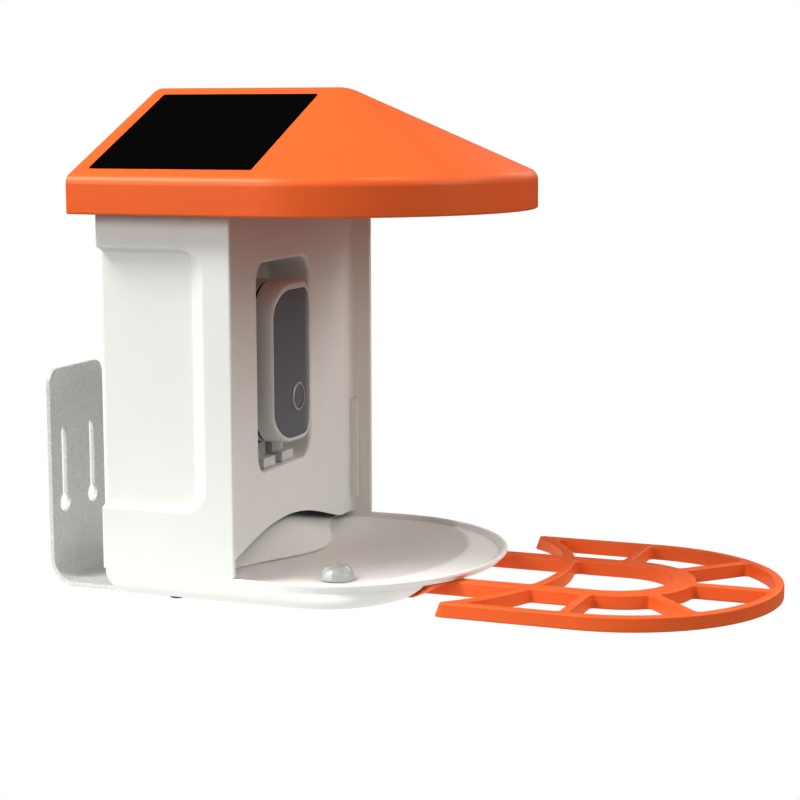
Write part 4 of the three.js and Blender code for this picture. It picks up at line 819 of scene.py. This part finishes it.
def makeDrainPlug():
    mesh = bmesh.new()
    bottom = level["floor"] + drain["lift"]
    stem, stemEnd, brim = drain["stem"], bottom - drain["stemLength"], bottom + drain["brim"]
    profile = [(0, stemEnd), (stem - drain["stemTip"], stemEnd), (stem, stemEnd + drain["stemTip"]),
               (stem, bottom), (drain["dome"] - drain["seat"], bottom), (drain["dome"], brim)]
    for i in range(1, drain["domeSteps"] + 1):
        turn = math.radians(90 * i / drain["domeSteps"])
        profile.append((drain["dome"] * math.cos(turn),
                        brim + (drain["domeHeight"] - drain["brim"]) * math.sin(turn)))
    addTurned(mesh, profile, (drain["x"], drain["y"], 0), steps=48)
    finishPiece(mesh, "drain_dome", "plug", "clear_plastic", ["drain_plug"], 50)


makeDish()
makeUnderworks()
makeDrainPlug()


# Perch: a flat net of bars, a hook band under the rim and two tongues

net = {"outer": 84.5, "centreY": -216, "bar": 5.2, "ringOuter": 39.8, "ringInner": 30.2, "ringFrontY": -213,
       "endY": -145, "endSlant": 4.5, "slantReach": 6, "arcOuter": 118.7, "arcY": -68.5, "diagonal": 42,
       "sideY": -210, "tongueBackY": -76, "tongueLift": 2.5, "tongueRound": 1.5, "stepY": -121, "stepRun": 2.5,
       "edge": 1.0, "fillet": 2.2, "hookProud": 2.2, "hookInside": 0.2, "hookBackY": -100, "hookEdge": 0.8,
       "hookSteps": 8}
netRim = net["outer"] - net["bar"]
nearArc = net["arcOuter"] - net["bar"]


def onArc(radius, x):
    return (x, net["arcY"] - math.sqrt(radius ** 2 - x ** 2))


def alongArc(radius, x0, x1, steps):
    return [onArc(radius, x0 + (x1 - x0) * i / steps) for i in range(1, steps)]


def onSpoke(angle, side, radius):
    way = Vector((math.cos(math.radians(angle)), math.sin(math.radians(angle))))
    half = net["bar"] / 2
    point = way * math.sqrt(radius ** 2 - half ** 2) + Vector((-way.y, way.x)) * side * half
    return (point.x, net["centreY"] + point.y)


def angleOf(point):
    return math.degrees(math.atan2(point[1] - net["centreY"], point[0]))


def alongRound(radius, start, end, steps):
    return arcPoints((0, net["centreY"]), radius, start, end, steps)[1:-1]


def mirrored(points):
    return [(-x, y) for x, y in reversed(points)]


def rightCells():
    rim, ring, half = netRim, net["ringOuter"], net["bar"] / 2
    far, centreY = net["arcOuter"], net["centreY"]
    sideTop, sideLow = net["sideY"] + half, net["sideY"] - half
    sideCorners = [(ring, sideTop), (rim, sideTop), onArc(far, rim), onArc(far, ring)]
    side = sideCorners[:3] + alongArc(far, rim, ring, 10) + sideCorners[3:]
    upperOut, upperIn = onSpoke(-net["diagonal"], 1, rim), onSpoke(-net["diagonal"], 1, ring)
    corner = [(rim, sideLow), (rim, centreY)] + alongRound(rim, 0, angleOf(upperOut), 10) + [upperOut, upperIn]
    corner += alongRound(ring, angleOf(upperIn), 0, 8) + [(ring, centreY), (ring, sideLow)]
    cornerCorners = [(rim, sideLow), upperOut, upperIn, (ring, sideLow)]
    lowerOut, lowerIn = onSpoke(-net["diagonal"], -1, rim), onSpoke(-net["diagonal"], -1, ring)
    frontOut, frontIn = onSpoke(-90, 1, rim), onSpoke(-90, 1, ring)
    front = [lowerOut] + alongRound(rim, angleOf(lowerOut), angleOf(frontOut), 14) + [frontOut, frontIn]
    front += alongRound(ring, angleOf(frontIn), angleOf(lowerIn), 8) + [lowerIn]
    return [(side, sideCorners), (corner, cornerCorners), (front, [lowerOut, frontOut, frontIn, lowerIn])]


def perchLoops():
    rim, ring, inner, outer = netRim, net["ringOuter"], net["ringInner"], net["outer"]
    far, tongueY, fillet = net["arcOuter"], net["tongueBackY"], net["fillet"]
    right = alongArc(nearArc, 0, inner, 6) + [onArc(nearArc, inner), (inner, tongueY), (ring, tongueY)]
    right += [onArc(nearArc, ring)] + alongArc(nearArc, ring, rim, 10) + [onArc(nearArc, rim)]
    right += [(outer, net["endY"]), (outer, net["centreY"])] + alongRound(outer, 0, -90, 48)
    outline = [onArc(nearArc, 0)] + right + [(0, net["centreY"] - outer)] + mirrored(right)
    rounded = [(onArc(nearArc, inner), fillet), (onArc(nearArc, ring), fillet),
               ((inner, tongueY), net["tongueRound"]), ((ring, tongueY), net["tongueRound"]),
               ((outer, net["endY"]), fillet)]
    loops = [(outline, rounded + [((-x, y), r) for (x, y), r in rounded])]
    hole = [onArc(far, inner), (inner, net["ringFrontY"])]
    hole += arcPoints((0, net["ringFrontY"]), inner, 0, -180, 40)[1:-1]
    hole += [(-inner, net["ringFrontY"]), onArc(far, -inner)] + alongArc(far, -inner, inner, 12)
    loops.append((hole, [(onArc(far, inner), fillet), (onArc(far, -inner), fillet)]))
    for cell, corners in rightCells():
        loops.append((cell, [(p, fillet) for p in corners]))
        loops.append((mirrored(cell), [((-x, y), fillet) for x, y in corners]))
    return loops


def makePerch():
    mesh = bmesh.new()
    z = level["base"]
    for points, corners in perchLoops():
        part = bmesh.new()
        addFace(part, [(x, y, z) for x, y in points])
        for point, radius in corners:
            roundCorner(part, (*point, z), radius, 5)
        bmesh.ops.delete(part, geom=part.faces[:], context="FACES_ONLY")
        joinInto(mesh, part)
    fillBetween(mesh)
    raiseFaces(mesh, (0, 0, perch["height"]))
    for y in (net["stepY"], net["stepY"] - net["stepRun"]):
        sliceAt(mesh, (0, y, 0), (0, 1, 0))
    slantY = net["endY"] - net["slantReach"]
    for vert in mesh.verts:
        if vert.co.z < z + touch and vert.co.y > net["stepY"] - touch:
            vert.co.z += net["tongueLift"]
        if abs(vert.co.x) > netRim - 1 and vert.co.y > slantY and vert.co.z < z + touch:
            vert.co.y += net["endSlant"] * min((vert.co.y - slantY) / net["slantReach"], 1)
    bevelSharp(mesh, net["edge"], 3, 50)
    joinInto(mesh, hookBand())
    finishPiece(mesh, "perch_net", "perch_frame", "orange_plastic", ["perch"])


def hookBand():
    band = bmesh.new()
    inside, steps = net["hookInside"], net["hookSteps"]
    heights = [inside + (perch["height"] - 2 * inside) * i / steps for i in range(steps + 1)]
    rows = []
    for inset, ordered in ((-net["hookProud"], heights), (perch["hookDepth"] - net["hookProud"], heights[::-1])):
        for height in ordered:
            ring = [Vector(p) for p in dishRing(height, inset)]
            rows.append([p for p in ring if abs(p.x) < perch["hookHalf"] and p.y < net["hookBackY"]])
    count = min(len(row) for row in rows)

    def spread(row):
        points = []
        for i in range(count):
            t = i * (len(row) - 1) / (count - 1)
            points.append(row[int(t)].lerp(row[min(int(t) + 1, len(row) - 1)], t - int(t)))
        return points

    sections = list(zip(*[spread(row) for row in rows]))
    first = current = addLoop(band, sections[0])
    for section in sections[1:]:
        current = growRing(band, current, section)
    band.faces.new(first)
    band.faces.new(current)
    bmesh.ops.recalc_face_normals(band, faces=band.faces)
    bevelSharp(band, net["hookEdge"], 3, 50)
    return band


makePerch()


# Wall bracket: one bent steel sheet with two keyholes

bracket = {"half": 29.3, "sheet": 2.5, "height": 121.8, "bend": 15.5, "wallY": 106.2, "frontY": -61,
           "corner": 8, "edge": 0.35, "keyX": 15.4, "keyZ": 45, "keyRadius": 5.4, "slotHalf": 2.6, "slotTop": 88,
           "screwX": 15, "screwYs": (-39, 17), "screwHole": 4.3}


def keyhole(x):
    mouth = math.degrees(math.asin(bracket["slotHalf"] / bracket["keyRadius"]))
    points = arcPoints((x, bracket["keyZ"]), bracket["keyRadius"], 90 + mouth, 450 - mouth, 28)
    return points + arcPoints((x, bracket["slotTop"] - bracket["slotHalf"]), bracket["slotHalf"], 0, 180, 12)


def makeBracket():
    mesh = bmesh.new()
    half, bend, wallY, high = bracket["half"], bracket["bend"], bracket["wallY"], bracket["height"]
    bendY = wallY - bend
    leg, plate = bmesh.new(), bmesh.new()
    addFace(leg, [(-half, bracket["frontY"], 0), (half, bracket["frontY"], 0), (half, bendY, 0), (-half, bendY, 0)])
    addFace(plate, [(-half, wallY, bend), (half, wallY, bend), (half, wallY, high), (-half, wallY, high)])
    for side in (-1, 1):
        roundCorner(leg, (side * half, bracket["frontY"], 0), bracket["corner"])
        for y in bracket["screwYs"]:
            addHole(leg, (side * bracket["screwX"], y), bracket["screwHole"], 0)
        roundCorner(plate, (side * half, wallY, high), bracket["corner"])
        addLoop(plate, [(x, wallY, z) for x, z in keyhole(side * bracket["keyX"])])
    fillBetween(leg)
    joinInto(mesh, leg)
    fillBetween(plate, normal=(0, 1, 0))
    joinInto(mesh, plate)
    rear = edgesWhere(mesh, lambda v: abs(v.co.y - bendY) < touch and v.co.z < touch)
    ends = list({v for e in rear for v in e.verts})
    bmesh.ops.spin(mesh, geom=rear + ends, cent=(0, bendY, bend), axis=(1, 0, 0), angle=math.pi / 2,
                   steps=12, use_merge=False, use_duplicate=False)
    bmesh.ops.remove_doubles(mesh, verts=mesh.verts, dist=touch)
    turnOut(mesh, way=(0, 0, -1))
    thicken(mesh, bracket["sheet"])
    bevelSharp(mesh, bracket["edge"], 2, 60)
    finishPiece(mesh, "bent_bracket", "feeder_body", "coated_steel", ["wall_bracket"])


makeBracket()


# Camera unit: a bowed front frame, a rear cup, a gasket, a dark plate and a button in a ring

camera = {"half": 24.8, "low": 85.8, "high": 173.3, "round": 17, "frontY": -31.2, "bulge": 3.7, "backY": -2.2,
          "splitFront": -20.6, "splitBack": -19.4, "wall": 1.8, "seam": 0.25, "bowSteps": 15, "arcSteps": 14,
          "plateHalf": 23.1, "plateLow": 88.7, "plateHigh": 169, "plateRound": 15.2, "plateSheet": 2.2,
          "plateEdge": 0.3, "frameDepth": 6.2, "inside": (0, -12, 130), "sealInset": 0.35, "sealLap": 0.6,
          "sealEdge": 0.2}
rounding = {  # pairs of how far in and how deep, from the case's side to its face
    "front": ((0, 5), (0.05, 3.6), (0.18, 2.3), (0.42, 1.2), (0.8, 0.4), (1.25, 0)),
    "back": ((0, 3), (0.15, 1.9), (0.88, 0.88), (1.9, 0.15), (3, 0)),
    "rebate": ((0.35, 0), (0.15, 0.2), (0.15, 2.5), (-1.6, 2.5), (-1.6, 4)),  # how far outside the plate
}
button = {"z": 110.3, "radius": 7.8, "ring": 1.5, "proud": 0.5, "hole": 0.15, "innerEdge": (0.3, 0.15),
          "outerEdge": (0.4, 0.3), "capGap": 0.25, "capSheet": 2.6, "stem": 1.6,
          "capFace": ((0, 0, 0.35), (0.5, 0, 0.27), (1, 0.9, 0.02), (1, 0.25, 0.05), (1, 0, 0.35))}
port = {"halfX": 2.8, "y": -11.2, "halfY": 5.3, "below": 88}
bowRadius = (camera["plateHalf"] ** 2 + camera["bulge"] ** 2) / (2 * camera["bulge"])
bowFrontY = camera["frontY"] - camera["bulge"]
awayY = 1000  # marks what follows the bow, until it is bent


def roundedOutline(half, low, high, radius):
    points = []
    for centre, start in (((half - radius, low + radius), -90), ((half - radius, high - radius), 0),
                          ((radius - half, high - radius), 90), ((radius - half, low + radius), 180)):
        points += arcPoints(centre, radius, start, start + 90, camera["arcSteps"])
    return points


def caseOutline(inset):
    return roundedOutline(camera["half"] - inset, camera["low"] + inset, camera["high"] - inset,
                          camera["round"] - inset)


def plateOutline(grow):
    return roundedOutline(camera["plateHalf"] + grow, camera["plateLow"] - grow, camera["plateHigh"] + grow,
                          camera["plateRound"] + grow)


def bendToBow(mesh):
    steps = camera["bowSteps"]
    for i in range(-steps, steps + 1):
        sliceAt(mesh, (i * camera["half"] / (steps + 1), 0, 0), (1, 0, 0))
    for vert in mesh.verts:
        if vert.co.y < -awayY / 2:
            vert.co.y += awayY + bowFrontY + bowRadius - math.sqrt(bowRadius ** 2 - vert.co.x ** 2)


def growTo(mesh, ring, outline, y):
    return growRing(mesh, ring, [(x, y, z) for x, z in outline])


def makeBezel():
    mesh = bmesh.new()
    first = addLoop(mesh, [(x, camera["splitFront"], z) for x, z in caseOutline(camera["wall"])])
    ring = growTo(mesh, first, caseOutline(camera["seam"]), camera["splitFront"])
    ring = growTo(mesh, ring, caseOutline(0), camera["splitFront"] - camera["seam"])
    for inset, sink in rounding["front"]:
        ring = growTo(mesh, ring, caseOutline(inset), sink - awayY)
    for grow, sink in rounding["rebate"]:
        ring = growTo(mesh, ring, plateOutline(grow), sink - awayY)
    ring = growTo(mesh, ring, caseOutline(camera["wall"]), camera["frameDepth"] - awayY)
    bmesh.ops.bridge_loops(mesh, edges=ringEdges(mesh, ring) + ringEdges(mesh, first))
    bmesh.ops.recalc_face_normals(mesh, faces=mesh.faces)
    bendToBow(mesh)
    finishPiece(mesh, "camera_front_frame", "camera_unit", "grey_plastic", ["camera_bezel"])


def makeRearShell():
    mesh = bmesh.new()
    ring = addLoop(mesh, [(x, camera["splitBack"], z) for x, z in caseOutline(camera["seam"])])
    ring = growTo(mesh, ring, caseOutline(0), camera["splitBack"] + camera["seam"])
    for inset, sink in rounding["back"]:
        ring = growTo(mesh, ring, caseOutline(inset), camera["backY"] - sink)
    mesh.faces.new(ring)
    turnOut(mesh, camera["inside"])

    def atFoot(face):
        return face.calc_center_median().z < port["below"]

    for side in (-1, 1):
        sliceAt(mesh, (side * port["halfX"], 0, 0), (1, 0, 0), atFoot)
        sliceAt(mesh, (0, port["y"] + side * port["halfY"], 0), (0, 1, 0), atFoot)
    cutAway(mesh, lambda c: c.z < port["below"] and abs(c.x) < port["halfX"]
            and abs(c.y - port["y"]) < port["halfY"])
    thicken(mesh, camera["wall"])
    finishPiece(mesh, "camera_rear_cup", "camera_unit", "grey_plastic", ["camera_rear_shell"])


def makeSeal():
    mesh = bmesh.new()
    for inset in (camera["sealInset"], camera["wall"] + camera["sealLap"]):
        addLoop(mesh, [(x, camera["splitFront"], z) for x, z in caseOutline(inset)])
    fillBetween(mesh, normal=(0, 1, 0))
    raiseFaces(mesh, (0, camera["splitBack"] - camera["splitFront"], 0))
    bevelSharp(mesh, camera["sealEdge"], 2, 60)
    finishPiece(mesh, "camera_gasket", "camera_unit", "black_rubber", ["camera_seal"])


def makePlate():
    mesh = bmesh.new()
    hole = arcPoints((0, button["z"]), button["radius"] + button["hole"], 0, 352.5, 47)
    for outline in (plateOutline(0), hole):
        addLoop(mesh, [(x, -awayY, z) for x, z in outline])
    fillBetween(mesh, normal=(0, -1, 0))
    turnOut(mesh, way=(0, -1, 0))
    bendToBow(mesh)
    mesh.normal_update()
    thicken(mesh, camera["plateSheet"])
    bevelSharp(mesh, camera["plateEdge"], 2, 60)
    finishPiece(mesh, "camera_plate", "camera_unit", "smoked_window", ["camera_window"])


def makeButton():
    centre = (0, bowFrontY, button["z"])
    outer, inner = button["radius"], button["radius"] - button["ring"]
    proud, sheet = button["proud"], camera["plateSheet"]
    (inX, inDrop), (outX, outDrop) = button["innerEdge"], button["outerEdge"]
    ring = [(inner, inDrop - proud), (inner + inX, -proud), (outer - outX, -proud), (outer, outDrop - proud),
            (outer, sheet), (inner, sheet)]
    mesh = bmesh.new()
    addTurned(mesh, ring, centre, "Y", 64, 0, True)
    finishPiece(mesh, "button_rim", "camera_unit", "bright_steel", ["button_ring"], 50)
    radius = inner - button["capGap"]
    stemEnd = nodeBox("button_cap")[1].y - bowFrontY
    profile = [(radius * share - inset, depth) for share, inset, depth in button["capFace"]]
    profile += [(radius, button["capSheet"]), (button["stem"], button["capSheet"]), (button["stem"], stemEnd),
                (0, stemEnd)]
    cap = bmesh.new()
    addTurned(cap, profile, centre, "Y", 64)
    finishPiece(cap, "button_face", "button", "smoked_window", ["button_cap"], 50)


makeBezel()
makeRearShell()
makeSeal()
makePlate()
makeButton()


# Feet: turned rubber discs with a rounded edge

def makeFeet():
    for i in range(1, 5):
        mesh = bmesh.new()
        low, high = nodeBox(f"rubber_foot_{i}")
        radius = (high.x - low.x) / 2
        profile = [(0, low.z)] + [(radius - inset, low.z + lift) for inset, lift in feet["edge"]]
        profile += [(radius, high.z), (0, high.z)]
        addTurned(mesh, profile, ((low.x + high.x) / 2, (low.y + high.y) / 2, 0), steps=40)
        finishPiece(mesh, f"foot_pad_{i}", "feeder_body", "black_rubber", [f"rubber_foot_{i}"])


makeFeet()


# Studio: pale floor, soft lights and the camera at the photograph's viewing angle, all in metres

# glow and glowReach set a painted pool of light: the floor glows round the feeder and lights it from below
studio = {"floorHalf": 8.0, "dome": 0.27, "paper": 1.0, "bounce": "#6a6a6a", "glow": 1.22,
          "glowReach": 0.455, "gamma": 0.7}
view = {"lens": 91.71, "sensor": 36, "place": (-1.00466, -0.48727, 0.26757), "yaw": 21.371, "pitch": -8.2545,
        "roll": -0.1709}
lights = {
    # name: place, aimed at, size, power
    "key": ((-0.035, -0.5, 1.75), (0, -0.12, 0.03), 0.03, 6),  # small, for the dish's sharp crescent
    "high left": ((-0.85, 0.85, 1.6), (0, -0.02, 0.15), 0.6, 26),
    "left": ((-1.7, 0.8, 0.8), (0, -0.05, 0.15), 0.9, 13),
    "front": ((0, -1.6, 1.0), (0, -0.05, 0.15), 0.9, 7),
    "front left": ((-1.5, -0.9, 0.6), (0, -0.05, 0.15), 0.9, 1.5),
    "low front": ((0.15, -1.75, 0.6), (0, -0.05, 0.15), 0.7, 2.5),
    "front right": ((0.8, -1.2, 1.3), (0, -0.05, 0.15), 0.7, 4),
    "right": ((1.6, -0.4, 0.9), (0, -0.05, 0.15), 0.8, 3),
}
white = linearColour("#ffffff")


def showPaper(tree, lit, paperKind, output):
    # The camera sees plain white paper, and the feeder is lit by the look behind it.
    paper = addNode(tree, paperKind, in_Color=white, in_Strength=studio["paper"])
    seen = addNode(tree, "ShaderNodeLightPath").outputs["Is Camera Ray"]
    both = addNode(tree, "ShaderNodeMixShader", {0: seen, 1: lit.outputs[0], 2: paper.outputs[0]})
    setNode(tree, tree.nodes[output], {"Surface": both.outputs[0]})


def makeFloor():
    mesh = bmesh.new()
    bmesh.ops.create_grid(mesh, x_segments=2, y_segments=2, size=studio["floorHalf"])
    data = bpy.data.meshes.new("floor")
    mesh.to_mesh(data)
    mesh.free()
    material, tree, shader, place = newMaterial("pale studio floor")
    # The floor glows round the feeder, most at its middle and fading outwards: a painted pool of light, which
    # lights the feeder from below though the floor is no lamp.
    reach = addNode(tree, "ShaderNodeMapping", {"Vector": place}, in_Scale=(1 / studio["glowReach"],) * 3)
    glow = addNode(tree, "ShaderNodeTexGradient", {"Vector": reach.outputs[0]}, gradient_type="SPHERICAL")
    strength = addNode(tree, "ShaderNodeMath", {0: glow.outputs["Fac"]}, operation="MULTIPLY", in_1=studio["glow"])
    setNode(tree, shader, {"Emission Strength": strength.outputs[0]}, in_Emission_Color=white,
            in_Base_Color=linearColour(studio["bounce"]), in_Roughness=0.9, in_Specular_IOR_Level=0.1)
    showPaper(tree, shader, "ShaderNodeEmission", "Material Output")
    data.materials.append(material)
    addObject("floor", data)


def makeLights():
    for name, (place, target, size, power) in lights.items():
        lamp = bpy.data.lights.new(name, "AREA")
        lamp.shape = "DISK"
        lamp.size = size
        lamp.energy = power
        holder = addObject(name, lamp)
        holder.location = place
        holder.rotation_euler = (Vector(target) - Vector(place)).to_track_quat("-Z", "Y").to_euler()
    world = bpy.data.worlds.new("studio")
    world.use_nodes = True
    tree = world.node_tree
    dome = setNode(tree, tree.nodes["Background"], in_Color=white, in_Strength=studio["dome"])
    showPaper(tree, dome, "ShaderNodeBackground", "World Output")
    bpy.context.scene.world = world
    bpy.context.scene.view_settings.view_transform = "Standard"
    bpy.context.scene.view_settings.gamma = studio["gamma"]


def makeCamera():
    yaw, pitch, roll = [math.radians(view[k]) for k in ("yaw", "pitch", "roll")]
    forward = Vector((math.cos(pitch) * math.cos(yaw), math.cos(pitch) * math.sin(yaw), math.sin(pitch)))
    across = Vector((math.sin(yaw), -math.cos(yaw), 0))
    up = across.cross(forward)
    right = math.cos(roll) * across + math.sin(roll) * up
    top = -math.sin(roll) * across + math.cos(roll) * up
    lens = bpy.data.cameras.new("camera")
    lens.lens = view["lens"]
    lens.sensor_width = view["sensor"]
    lens.clip_start = 0.01
    holder = addObject("camera", lens)
    turn = Matrix((right, top, -forward)).transposed().to_4x4()
    holder.matrix_world = Matrix.Translation(view["place"]) @ turn
    bpy.context.scene.camera = holder


makeFloor()
makeLights()
makeCamera()
print("studio set")
